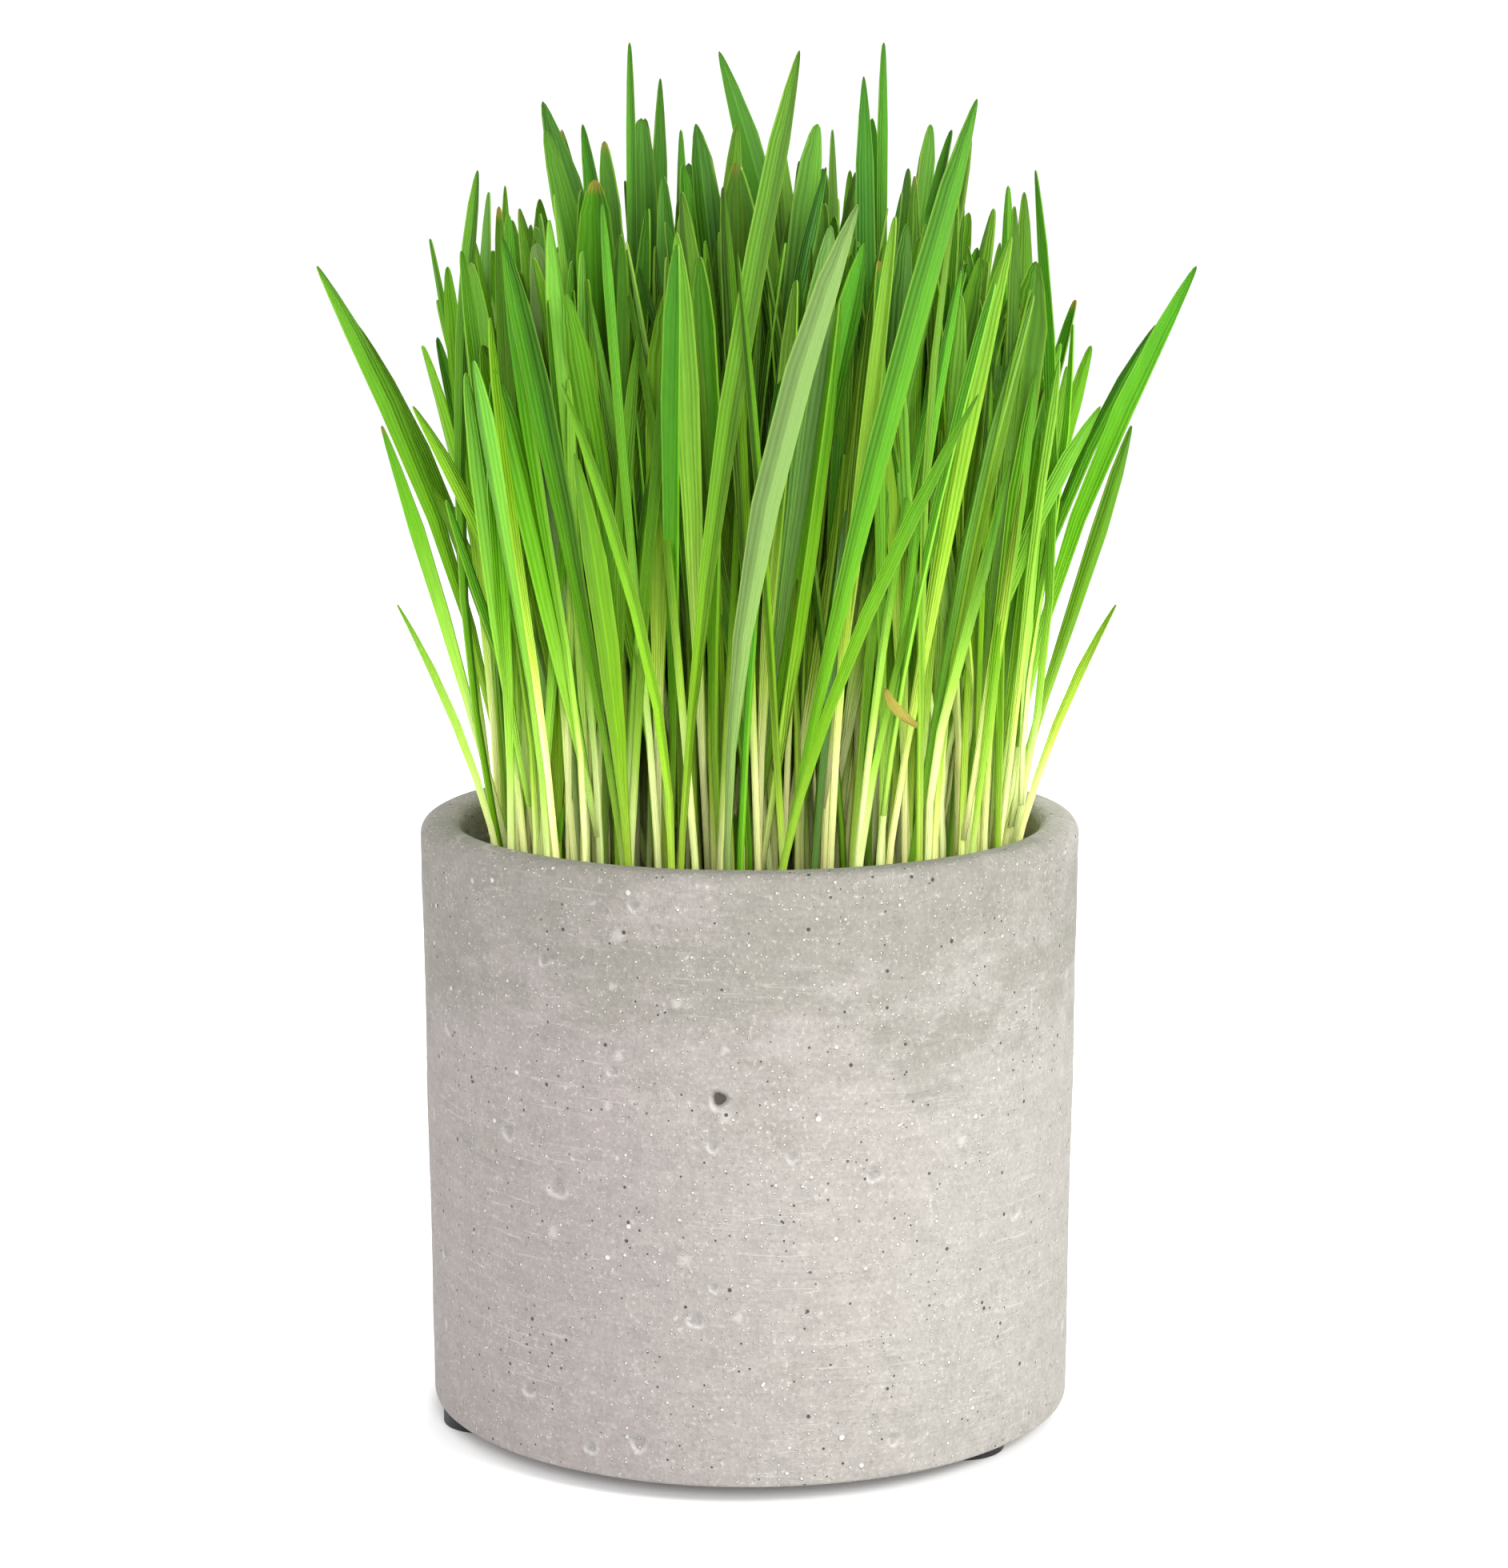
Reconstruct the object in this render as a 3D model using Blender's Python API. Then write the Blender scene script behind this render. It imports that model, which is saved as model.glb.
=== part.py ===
"""A pot of young wheatgrass in a turned concrete pot on three rubber feet.

Metres, +Z up, front towards -Y.  The feet stand on Z = 0 and the pot's axis is the Z axis.
"""
import math
import random

import bmesh
import bpy
import numpy as np
from mathutils import Vector

# Driving dimensions of the feet
FOOT_RADIUS = 0.008
FOOT_HEIGHT = 0.0027
FOOT_EDGE = 0.0004
FOOT_PLACES = {
    "foot_right": (0.0378, -0.0286),
    "foot_back": (0.0088, 0.0482),
    "foot_left": (-0.0483, -0.0143),
}

# Driving dimensions of the pot
GAP = 0.0003
POT_BOTTOM = FOOT_HEIGHT + GAP
POT_TOP = POT_BOTTOM + 0.1078
POT_RIM_RADIUS = 0.060
POT_BASE_RADIUS = 0.0589
BORE_TOP_RADIUS = 0.0527
BORE_FLOOR_RADIUS = 0.0500
POT_FLOOR = POT_BOTTOM + 0.0088
RIM_ROUND = 0.0026
BASE_ROUND = 0.0008
BORE_ROUND = 0.004
POT_SIDES = 64

# Driving dimensions of the soil and of the mat of seeds and roots on it
SOIL_TOP = 0.0915
SOIL_UNEVENNESS = 0.0008
MAT_BOTTOM = SOIL_TOP + GAP
MAT_TOP = 0.097
MAT_RADIUS = 0.0502
MAT_UNEVENNESS = 0.0006
MAT_SIDES = 48

# Driving dimensions of the grass
ROOT_DEPTH = 0.004
ROOT_CIRCLE_RADIUS = 0.0475
STEM_WIDTH = 0.0019
STEM_DEPTH = 0.0018
BLADE_DEPTH = 0.0012
LEAF_STATIONS = (0.0, 0.3, 0.62, 0.9)
CREST = 0.229
CREST_FALL = 0.011
CREST_RADIUS = 0.049
SPREAD_LIMIT = 0.058
FRONT_LINE = -0.037
SHORT_LINE = -0.034
SHORT_HEIGHT = 0.212
WALL_LIMIT = 0.0515
TALLEST_TIP = 0.250
LEAF_CLEARANCE = 0.0002
CLEARANCE_STEP = 0.012
LEAF_COUNT = 270
CANDIDATE_LIMIT = 8000
GRASS_SEED = 11
MIRROR_SHIFT = 0.0024

# Leaves that shape the outline, in millimetres:
# root x, root y, tip x, tip y, tip z, width, early, turn in degrees
# Each of these has a twin on the right at the mirrored x
PAIRED_LEAVES = (
    (-43.6, 2, -77.3, 0, 210, 3.8, 0.07, 8),
    (-42.1, -5, -65.6, -6, 182, 3.0, 0.41, -14),
    (-42.8, 10, -71.4, 11, 199, 2.6, -0.07, 30),
    (-41.6, 16, -60.1, 16, 195, 3.0, 0.20, -20),
    (-38.5, 24, -57.9, 24, 203, 3.0, 0.09, 35),
    (-39.2, -13, -59.3, -14, 186, 2.8, -0.41, 20),
    (-43.1, -9, -47.7, -10, 227, 2.3, 3.09, 25),
    (-43.8, -14, -62.5, -15, 151, 1.6, 0.20, 15),
    (-40.7, 5, -46.7, 4, 223, 3.0, 1.40, -35),
    (-40.5, 12, -44.4, 13, 224, 2.6, 0.89, 15),
    (-33.0, -24, -43.1, -24, 221, 2.8, 0.92, -10),
    (-33.0, 8, -41.6, 9, 220, 4.2, -0.40, 40),
    (-20.7, -31, -42.0, -33, 216, 4.4, 0.35, 12),
    (-25.4, -15, -37.7, -16, 212, 4.6, 0.00, -18),
    (-18.0, 3, -36.4, 2, 234, 5.4, 0.00, 10),
    (-19.0, 15, -34.2, 15, 234, 2.2, -0.10, 30),
    (-20.0, 20, -30.6, 21, 235, 3.8, -0.10, -15),
    (-22.5, 27, -26.9, 28, 227, 4.0, -0.21, 20),
    (-20.5, -8, -21.0, -8, 249, 1.7, 0.50, 0),
    (-17.5, -4, -19.2, -4, 236, 5.0, 0.00, 15),
    (-15.0, 1, -18.6, 1, 236, 4.2, 0.20, -15),
    (-11.6, 12, -12.5, 13, 234, 2.0, 0.50, -30),
    (-1.8, -12, -9.4, -12, 235, 4.8, -0.26, -8),
    (-6.5, 8, -2.4, 9, 235, 3.9, -0.60, 25),
)
# Each of these stands alone
SINGLE_LEAVES = (
    (-16.0, 10, -37.3, 10, 239, 6.2, -0.05, 14),
    (3.3, -45, 37.8, -43, 239, 4.2, 0.39, 6),
    (12.0, 17, -5.6, 16, 248, 4.8, -0.50, -6),
    (-12.5, -44, 8.3, -39, 247, 3.8, 0.16, 4),
    (-15.9, 5, -16.0, 5, 243, 3.0, 0.50, 20),
    (21.0, -20, 19.6, -20, 243, 3.4, -0.10, -12),
    (-3.5, -46, 17.6, -62, 222, 4.8, -0.14, 5),
    (-20.3, -42, -29.0, -54, 181, 3.8, 0.15, -6),
    (-13.9, -46, -31.6, -45, 192, 1.9, -0.14, 20),
    (3.4, -44, 37.6, -58, 191, 2.2, 0.23, -20),
    (9.1, -8, 16.6, -8, 215, 8.2, -0.62, 3),
    (29.5, -36, 34.9, -34, 223, 2.0, -0.49, 60),
    (-22.8, -28, -19.0, -28, 200, 2.6, -0.60, 10),
    (44.0, -15, 38.1, -15, 214, 2.6, -0.50, -25),
    (-34.0, -22, -33.0, -24, 168, 4.2, 0.30, 6),
    (-8.0, 43, -16.0, 62, 214, 4.6, 0.05, 12),
    (24.0, 38, 33.0, 57, 196, 4.0, 0.10, -24),
    (-27.0, 36, -38.0, 52, 190, 3.6, 0.12, 28),
)


def clear_scene():
    """Remove whatever the file holds."""
    for item in list(bpy.data.objects):
        bpy.data.objects.remove(item, do_unlink=True)


def make_material(name, colour, roughness):
    """Plain non-metal material of one colour."""
    material = bpy.data.materials.new(name)
    material.use_nodes = True
    shader = material.node_tree.nodes["Principled BSDF"]
    shader.inputs["Base Color"].default_value = (*colour, 1.0)
    shader.inputs["Roughness"].default_value = roughness
    shader.inputs["Metallic"].default_value = 0.0
    return material


def object_from(mesh_data, name, material, smooth_angle):
    """Named object from a bmesh, with faces smoothed where they meet below an angle."""
    bmesh.ops.recalc_face_normals(mesh_data, faces=mesh_data.faces)
    for face in mesh_data.faces:
        face.smooth = smooth_angle > 0.0
    for edge in mesh_data.edges:
        edge.smooth = edge.calc_face_angle(math.pi) < smooth_angle
    mesh = bpy.data.meshes.new(name)
    mesh_data.to_mesh(mesh)
    mesh_data.free()
    mesh.materials.append(material)
    thing = bpy.data.objects.new(name, mesh)
    bpy.context.scene.collection.objects.link(thing)
    return thing


def round_corner(before, corner, after, radius, steps):
    """Points of an arc that rounds one corner of a profile in the X-Z plane."""
    to_before = (Vector(before) - Vector(corner)).normalized()
    to_after = (Vector(after) - Vector(corner)).normalized()
    half = to_before.angle(to_after) / 2.0
    centre = Vector(corner) + (to_before + to_after).normalized() * radius / math.sin(half)
    start = Vector(corner) + to_before * radius / math.tan(half) - centre
    end = Vector(corner) + to_after * radius / math.tan(half) - centre
    sweep = start.angle(end)
    points = []
    for step in range(steps + 1):
        share = step / steps
        first = math.sin((1.0 - share) * sweep) / math.sin(sweep)
        second = math.sin(share * sweep) / math.sin(sweep)
        points.append(tuple(centre + start * first + end * second))
    return points


def turned_bmesh(profile, sides):
    """Solid of revolution about Z from a profile of (radius, z) points, ends on the axis or joined."""
    mesh_data = bmesh.new()
    verts = [mesh_data.verts.new((radius, 0.0, z)) for radius, z in profile]
    edges = [mesh_data.edges.new(pair) for pair in zip(verts, verts[1:])]
    bmesh.ops.spin(
        mesh_data,
        geom=verts + edges,
        cent=(0.0, 0.0, 0.0),
        axis=(0.0, 0.0, 1.0),
        angle=math.tau,
        steps=sides,
        use_merge=True,
    )
    bmesh.ops.remove_doubles(mesh_data, verts=mesh_data.verts, dist=1e-6)
    return mesh_data


def bore_radius(z):
    """Radius of the pot's inside at a height."""
    share = (z - POT_FLOOR) / (POT_TOP - POT_FLOOR)
    return BORE_FLOOR_RADIUS + (BORE_TOP_RADIUS - BORE_FLOOR_RADIUS) * share


def make_pot(material):
    """Turned concrete pot, slightly tapered, with rounded rim and foot."""
    floor_corner = (BORE_FLOOR_RADIUS, POT_FLOOR)
    inner_rim = (BORE_TOP_RADIUS, POT_TOP)
    outer_rim = (POT_RIM_RADIUS, POT_TOP)
    base_corner = (POT_BASE_RADIUS, POT_BOTTOM)
    profile = [(0.0, POT_FLOOR)]
    profile += round_corner((0.0, POT_FLOOR), floor_corner, inner_rim, BORE_ROUND, 4)
    profile += round_corner(floor_corner, inner_rim, outer_rim, RIM_ROUND, 5)
    profile += round_corner(inner_rim, outer_rim, base_corner, RIM_ROUND, 5)
    profile += round_corner(outer_rim, base_corner, (0.0, POT_BOTTOM), BASE_ROUND, 5)
    profile.append((0.0, POT_BOTTOM))
    return object_from(turned_bmesh(profile, POT_SIDES), "pot", material, math.radians(50))


def make_foot(name, place, material):
    """Round rubber foot under the pot."""
    profile = [(0.0, FOOT_HEIGHT)]
    profile += [(FOOT_RADIUS - FOOT_EDGE, FOOT_HEIGHT), (FOOT_RADIUS, FOOT_HEIGHT - FOOT_EDGE)]
    profile += [(FOOT_RADIUS, FOOT_EDGE), (FOOT_RADIUS - FOOT_EDGE, 0.0), (0.0, 0.0)]
    mesh_data = turned_bmesh(profile, 32)
    bmesh.ops.translate(mesh_data, verts=mesh_data.verts, vec=(*place, 0.0))
    return object_from(mesh_data, name, material, math.radians(60))


def make_soil(material):
    """Potting soil that fills the pot, with an uneven top."""
    rng = random.Random(5)
    low = POT_FLOOR + GAP
    floor_corner = (BORE_FLOOR_RADIUS - GAP * 1.5, low)
    top_corner = (bore_radius(SOIL_TOP) - GAP * 1.5, SOIL_TOP - SOIL_UNEVENNESS)
    profile = [(0.0, SOIL_TOP), (0.012, SOIL_TOP), (0.024, SOIL_TOP), (0.036, SOIL_TOP)]
    profile += [(0.046, SOIL_TOP), top_corner]
    profile += round_corner(top_corner, floor_corner, (0.0, low), BORE_ROUND + 0.0005, 3)
    profile.append((0.0, low))
    mesh_data = turned_bmesh(profile, 40)
    for vert in mesh_data.verts:
        if vert.co.z > SOIL_TOP - SOIL_UNEVENNESS / 2.0:
            vert.co.z -= rng.uniform(0.0, SOIL_UNEVENNESS)
    return object_from(mesh_data, "soil", material, math.radians(60))


class Leaf:
    """One grass shoot: where it is rooted, where its tip ends and how it gets there."""

    def __init__(self, root, tip, width, early, turn):
        self.root = np.array(root)
        self.tip = np.array(tip)
        self.width = width
        self.early = early
        self.turn = turn

    def centre(self, share):
        """Point of the midline at a share of the leaf's height."""
        sideways = 2.0 * self.early * share * (1.0 - share) + share * share
        flat = self.root + (self.tip[:2] - self.root) * sideways
        return Vector((flat[0], flat[1], MAT_TOP + (self.tip[2] - MAT_TOP) * share))

    def section(self, share):
        """Width and depth of the leaf at a share of its height: round stem, then blade."""
        if share <= 0.15:
            return min(STEM_WIDTH, self.width), STEM_DEPTH
        if share <= 0.6:
            blend = (share - 0.15) / 0.45
            stem = min(STEM_WIDTH, self.width)
            width = stem + (self.width - stem) * blend
            return width, STEM_DEPTH + (BLADE_DEPTH - STEM_DEPTH) * blend
        taper = max(0.0, (share - 0.9) / 0.1)
        return self.width * (1.0 - taper), BLADE_DEPTH

    def across(self, share):
        """Direction of the leaf's width, square to its midline, and of its back."""
        step = self.centre(min(share + 0.02, 1.0)) - self.centre(max(share - 0.02, 0.0))
        along = step.normalized()
        wide = Vector((math.cos(self.turn), math.sin(self.turn), 0.0))
        wide = (wide - along * wide.dot(along)).normalized()
        return wide, along.cross(wide)

    def outline_at(self, heights):
        """Ends of the flat of the leaf seen from above at some heights, and its half depth."""
        ends = np.full((len(heights), 2, 2), np.nan)
        depths = np.zeros(len(heights))
        for index, height in enumerate(heights):
            share = (height - MAT_TOP) / (self.tip[2] - MAT_TOP)
            if share > 1.0:
                break
            width, depth = self.section(share)
            half = max(width - depth, 0.0) / 2.0
            wide = np.array((math.cos(self.turn), math.sin(self.turn)))
            middle = np.array(self.centre(share)[:2])
            ends[index] = (middle - wide * half, middle + wide * half)
            depths[index] = depth / 2.0
        return ends, depths


def chosen_leaves():
    """The leaves picked by hand for the outline and the front."""
    leaves = []
    for row in PAIRED_LEAVES + SINGLE_LEAVES:
        root_x, root_y, tip_x, tip_y, tip_z, width = (value / 1000.0 for value in row[:6])
        turn = math.radians(row[7])
        leaves.append(Leaf((root_x, root_y), (tip_x, tip_y, tip_z), width, row[6], turn))
        if row in PAIRED_LEAVES:
            root = (MIRROR_SHIFT - root_x, root_y)
            tip = (MIRROR_SHIFT - tip_x, tip_y, tip_z)
            leaves.append(Leaf(root, tip, width, row[6], -turn))
    return leaves


def random_leaf(rng):
    """A leaf rooted anywhere in the mat, leaning outwards a little."""
    radius = ROOT_CIRCLE_RADIUS * math.sqrt(rng.random())
    angle = rng.uniform(0.0, math.tau)
    root = (radius * math.cos(angle), radius * math.sin(angle))
    lean_angle = angle + rng.gauss(0.0, 1.1)
    lean = 0.001 + radius * 0.15 + abs(rng.gauss(0.0, 0.008))
    if rng.random() < 0.16:
        lean += 0.014
    tip_x = root[0] + lean * math.cos(lean_angle)
    tip_y = root[1] + lean * math.sin(lean_angle)
    reach = math.hypot(tip_x, tip_y)
    crest = CREST - CREST_FALL * (reach / CREST_RADIUS) ** 3
    tip_z = crest - min(rng.expovariate(1.0 / 0.014), 0.045)
    front = min(max((-root[1] - 0.024) / 0.014, 0.0), 1.0)
    width = min(max(rng.gauss(0.0046, 0.0012), 0.0018), 0.0070)
    width *= 1.0 - 0.5 * front
    early = rng.uniform(-0.05, 0.50)
    turn = rng.gauss(0.0, 0.8)
    return Leaf(root, (tip_x, tip_y, tip_z), width, early, turn), reach


def segment_gaps(ends, others):
    """Smallest distance from each flat of one leaf to the matching flats of many others."""
    nearest = np.full(others.shape[:2], np.inf)
    for first, second in ((ends[None], others), (others, ends[None])):
        along = second[..., 1, :] - second[..., 0, :]
        length = np.maximum((along ** 2).sum(-1), 1e-12)
        for corner in (0, 1):
            to_corner = first[..., corner, :] - second[..., 0, :]
            share = np.clip((to_corner * along).sum(-1) / length, 0.0, 1.0)
            miss = to_corner - along * share[..., None]
            nearest = np.fmin(nearest, np.sqrt((miss ** 2).sum(-1)))
    own = ends[None, :, 1] - ends[None, :, 0]
    their = others[:, :, 1] - others[:, :, 0]
    offset = others[:, :, 0] - ends[None, :, 0]
    cross = own[..., 0] * their[..., 1] - own[..., 1] * their[..., 0]
    cross = np.where(np.abs(cross) < 1e-12, 1e-12, cross)
    on_own = (offset[..., 0] * their[..., 1] - offset[..., 1] * their[..., 0]) / cross
    on_their = (offset[..., 0] * own[..., 1] - offset[..., 1] * own[..., 0]) / cross
    crossing = (on_own > 0.0) & (on_own < 1.0) & (on_their > 0.0) & (on_their < 1.0)
    return np.where(crossing, 0.0, nearest)


def grow_leaves():
    """The chosen leaves, then seeded ones that cross one earlier leaf at most."""
    heights = np.arange(MAT_TOP, TALLEST_TIP, CLEARANCE_STEP)
    leaves = chosen_leaves()
    outlines = [leaf.outline_at(heights) for leaf in leaves]
    rng = random.Random(GRASS_SEED)
    for _ in range(CANDIDATE_LIMIT):
        if len(leaves) >= LEAF_COUNT:
            break
        leaf, reach = random_leaf(rng)
        if reach > SPREAD_LIMIT or (leaf.root[1] < FRONT_LINE and len(leaves) % 4):
            continue
        if leaf.tip[1] < SHORT_LINE and leaf.tip[2] < SHORT_HEIGHT:
            continue
        ends, depths = leaf.outline_at(heights)
        if np.hypot(*ends[1].T).max() + depths[1] > WALL_LIMIT:
            continue
        other_ends = np.array([outline[0] for outline in outlines])
        other_depths = np.array([outline[1] for outline in outlines])
        gaps = segment_gaps(ends, other_ends) - depths[None] - other_depths
        if np.count_nonzero((gaps < LEAF_CLEARANCE).any(axis=1)) <= 1:
            leaves.append(leaf)
            outlines.append((ends, depths))
    return leaves


def place_ring(face, leaf, share):
    """Set a three-cornered face across the leaf at a share of its height."""
    centre = leaf.centre(share)
    width, depth = leaf.section(share)
    wide, back = leaf.across(share)
    if share == 0.0:
        centre.z -= ROOT_DEPTH
    corners = (
        centre - wide * width / 2.0 - back * depth / 3.0,
        centre + wide * width / 2.0 - back * depth / 3.0,
        centre + back * depth * 2.0 / 3.0,
    )
    for vert, corner in zip(face.verts, corners):
        vert.co = corner


def leaf_bmesh(leaf):
    """Closed three-sided blade with its root sunk into the mat and a pointed tip."""
    mesh_data = bmesh.new()
    bmesh.ops.create_circle(mesh_data, cap_ends=True, segments=3, radius=STEM_WIDTH / 2.0)
    top = mesh_data.faces[:][0]
    place_ring(top, leaf, LEAF_STATIONS[0])
    for share in LEAF_STATIONS[1:]:
        grown = bmesh.ops.extrude_face_region(mesh_data, geom=[top])["geom"]
        if share > LEAF_STATIONS[1]:
            bmesh.ops.delete(mesh_data, geom=[top], context="FACES_ONLY")
        top = next(item for item in grown if isinstance(item, bmesh.types.BMFace))
        place_ring(top, leaf, share)
    point = bmesh.ops.poke(mesh_data, faces=[top])["verts"][0]
    point.co = leaf.centre(1.0)
    bmesh.ops.triangulate(mesh_data, faces=mesh_data.faces, quad_method="FIXED")
    return mesh_data


def mat_bmesh():
    """Disc of seeds and matted roots with an uneven edge."""
    rng = random.Random(7)
    edge = 0.0015
    profile = [(0.0, MAT_TOP), (MAT_RADIUS - edge, MAT_TOP), (MAT_RADIUS, MAT_TOP - edge)]
    profile += [(MAT_RADIUS, MAT_BOTTOM), (0.0, MAT_BOTTOM)]
    mesh_data = turned_bmesh(profile, MAT_SIDES)
    swell = {}
    for vert in mesh_data.verts:
        side = round(math.atan2(vert.co.y, vert.co.x) / math.tau * MAT_SIDES) % MAT_SIDES
        factor = swell.setdefault(side, 1.0 + rng.uniform(-1.0, 1.0) * MAT_UNEVENNESS / MAT_RADIUS)
        vert.co.x *= factor
        vert.co.y *= factor
    bmesh.ops.dissolve_limit(
        mesh_data,
        angle_limit=math.radians(0.5),
        verts=mesh_data.verts,
        edges=mesh_data.edges,
    )
    return mesh_data


def make_wheatgrass(material):
    """The mat with every leaf fused into it."""
    grass = object_from(mat_bmesh(), "wheatgrass", material, 0.0)
    blades = bpy.data.collections.new("blades")
    for number, leaf in enumerate(grow_leaves()):
        blade = object_from(leaf_bmesh(leaf), f"blade_{number}", material, 0.0)
        bpy.context.scene.collection.objects.unlink(blade)
        blades.objects.link(blade)
    bpy.context.scene.collection.children.link(blades)
    union = grass.modifiers.new("fuse_blades", "BOOLEAN")
    union.operation = "UNION"
    union.operand_type = "COLLECTION"
    union.collection = blades
    union.solver = "MANIFOLD"
    fused = bpy.data.meshes.new_from_object(grass.evaluated_get(bpy.context.evaluated_depsgraph_get()))
    grass.modifiers.remove(union)
    grass.data = fused
    for blade in list(blades.objects):
        bpy.data.objects.remove(blade, do_unlink=True)
    bpy.data.collections.remove(blades)
    return grass


def main():
    """Build every piece."""
    clear_scene()
    concrete = make_material("concrete", (0.56, 0.53, 0.49), 0.85)
    rubber = make_material("rubber", (0.012, 0.012, 0.013), 0.70)
    earth = make_material("soil", (0.045, 0.028, 0.018), 0.95)
    green = make_material("grass", (0.16, 0.36, 0.04), 0.45)
    for name, place in FOOT_PLACES.items():
        make_foot(name, place, rubber)
    make_pot(concrete)
    make_soil(earth)
    make_wheatgrass(green)


main()
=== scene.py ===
"""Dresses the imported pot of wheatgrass: cast concrete, rubber feet, a mat of seeds and many leaves."""

import logging
import math
import random
from dataclasses import dataclass, replace
from enum import Enum
from typing import ClassVar

import bmesh
import bpy
import numpy as np
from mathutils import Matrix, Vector, noise


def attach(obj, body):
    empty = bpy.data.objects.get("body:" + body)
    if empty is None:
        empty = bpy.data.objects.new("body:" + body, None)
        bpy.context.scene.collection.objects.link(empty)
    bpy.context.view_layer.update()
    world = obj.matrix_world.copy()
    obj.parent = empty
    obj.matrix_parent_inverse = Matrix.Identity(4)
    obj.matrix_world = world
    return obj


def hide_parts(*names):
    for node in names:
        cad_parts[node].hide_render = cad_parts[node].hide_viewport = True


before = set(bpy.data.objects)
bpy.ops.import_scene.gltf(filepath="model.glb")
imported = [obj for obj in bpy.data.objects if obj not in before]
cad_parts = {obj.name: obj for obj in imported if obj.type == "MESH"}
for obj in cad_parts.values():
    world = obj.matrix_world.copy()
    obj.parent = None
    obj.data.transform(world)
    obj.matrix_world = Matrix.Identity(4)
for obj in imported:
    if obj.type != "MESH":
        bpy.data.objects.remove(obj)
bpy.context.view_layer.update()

LOG = logging.getLogger("wheatgrass_pot")
Colour = tuple[float, float, float]
ProfilePoint = tuple[float, float]
Socket = bpy.types.NodeSocket

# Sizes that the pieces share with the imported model
MAT_TOP = 0.097
MAT_BOTTOM = 0.0918
MIRROR_SHIFT = 0.0024
MILLIMETRE = 0.001


class Sheet:
    """A material's node tree, filled one node at a time."""

    def __init__(self, name: str) -> None:
        """Start a material with its Principled shader.

        Args:
            name: the material's name.
        """
        self.material = bpy.data.materials.new(name)
        self.material.use_nodes = True
        self.tree = self.material.node_tree
        self.shader = self.tree.nodes["Principled BSDF"]
        self.output = self.tree.nodes["Material Output"]
        self.place = self.node("ShaderNodeTexCoord").outputs["Object"]

    def join(self, value: object, socket: Socket) -> None:
        """Link a socket, or set a plain value on it.

        Args:
            value: an output socket, a number, a vector or a colour.
            socket: the input that takes it.
        """
        if isinstance(value, Socket):
            self.tree.links.new(value, socket)
        elif isinstance(value, tuple) and len(value) == 3 and socket.type == "RGBA":
            socket.default_value = (*value, 1.0)
        else:
            socket.default_value = value

    def node(self, kind: str, inputs: dict | None = None, **settings: object) -> bpy.types.Node:
        """Add a node.

        Args:
            kind: the node's type name.
            inputs: values or sockets by input name or number.
            settings: the node's own properties.

        Returns:
            The new node.
        """
        made = self.tree.nodes.new(kind)
        for key, value in settings.items():
            setattr(made, key, value)
        for key, value in (inputs or {}).items():
            self.join(value, made.inputs[key])
        return made

    def attribute(self, name: str) -> Socket:
        """Number stored on the mesh under a name."""
        return self.node("ShaderNodeAttribute", attribute_name=name).outputs["Fac"]

    def calc(self, operation: str, *values: object) -> Socket:
        """Result of one sum, product or other operation on numbers."""
        inputs = dict(enumerate(values))
        return self.node("ShaderNodeMath", inputs, operation=operation).outputs[0]

    def stretch(self, scale: tuple[float, float, float], turn: float = 0.0) -> Socket:
        """Object coordinates turned a little about Y, then scaled along each axis.

        Args:
            scale: how many times finer the pattern gets along X, Y and Z.
            turn: the angle in radians.

        Returns:
            Vector socket.
        """
        shrunk = tuple(1.0 / part for part in scale)
        inputs = {"Vector": self.place, "Scale": shrunk, "Rotation": (0.0, turn, 0.0)}
        return self.node("ShaderNodeMapping", inputs, vector_type="TEXTURE").outputs[0]

    def cloud(self, scale: float, detail: float = 3.0, rough: float = 0.5, vector: object = None) -> Socket:
        """Noise value from 0 to 1 with its features one part in scale of a metre wide."""
        inputs = {"Vector": vector or self.place, "Scale": scale, "Detail": detail, "Roughness": rough}
        return self.node("ShaderNodeTexNoise", inputs).outputs["Fac"]

    def span(
        self, value: object, low: float, high: float, to_low: float = 0.0, to_high: float = 1.0
    ) -> Socket:
        """Value carried smoothly from one range to another and clamped."""
        inputs = {0: value, 1: low, 2: high, 3: to_low, 4: to_high}
        return self.node("ShaderNodeMapRange", inputs, interpolation_type="SMOOTHSTEP").outputs[0]

    def spots(self, scale: float, radius: float, share: float) -> Socket:
        """Scattered round spots, 1 inside and 0 outside.

        Args:
            scale: cells per metre.
            radius: largest spot radius as a share of a cell.
            share: share of the cells that have a spot.

        Returns:
            Mask socket.
        """
        cells = self.node("ShaderNodeTexVoronoi", {"Vector": self.place, "Scale": scale, "Randomness": 1.0})
        pick = self.node("ShaderNodeSeparateColor", {0: cells.outputs["Color"]})
        size = self.calc("MULTIPLY", self.span(pick.outputs[0], 1.0 - share, 1.0, 0.35, 1.0), radius)
        chosen = self.calc("GREATER_THAN", pick.outputs[0], 1.0 - share)
        inside = self.calc("SUBTRACT", size, cells.outputs["Distance"])
        return self.calc("MULTIPLY", self.span(inside, 0.0, radius * 0.4), chosen)

    def blend(self, factor: object, low: object, high: object, mode: str = "MIX") -> Socket:
        """Two colours mixed by a factor."""
        inputs = {0: factor, 6: low, 7: high}
        return self.node("ShaderNodeMix", inputs, data_type="RGBA", blend_type=mode).outputs[2]

    def cover(self, under: object, over: object, mask: object, strength: float) -> Socket:
        """One colour laid over another where a mask says, at a strength."""
        return self.blend(self.calc("MULTIPLY", mask, strength), under, over)

    def plus(self, start: object, part: object, weight: float) -> Socket:
        """A number with a weighted part added to it."""
        return self.calc("MULTIPLY_ADD", part, weight, start)

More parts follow.
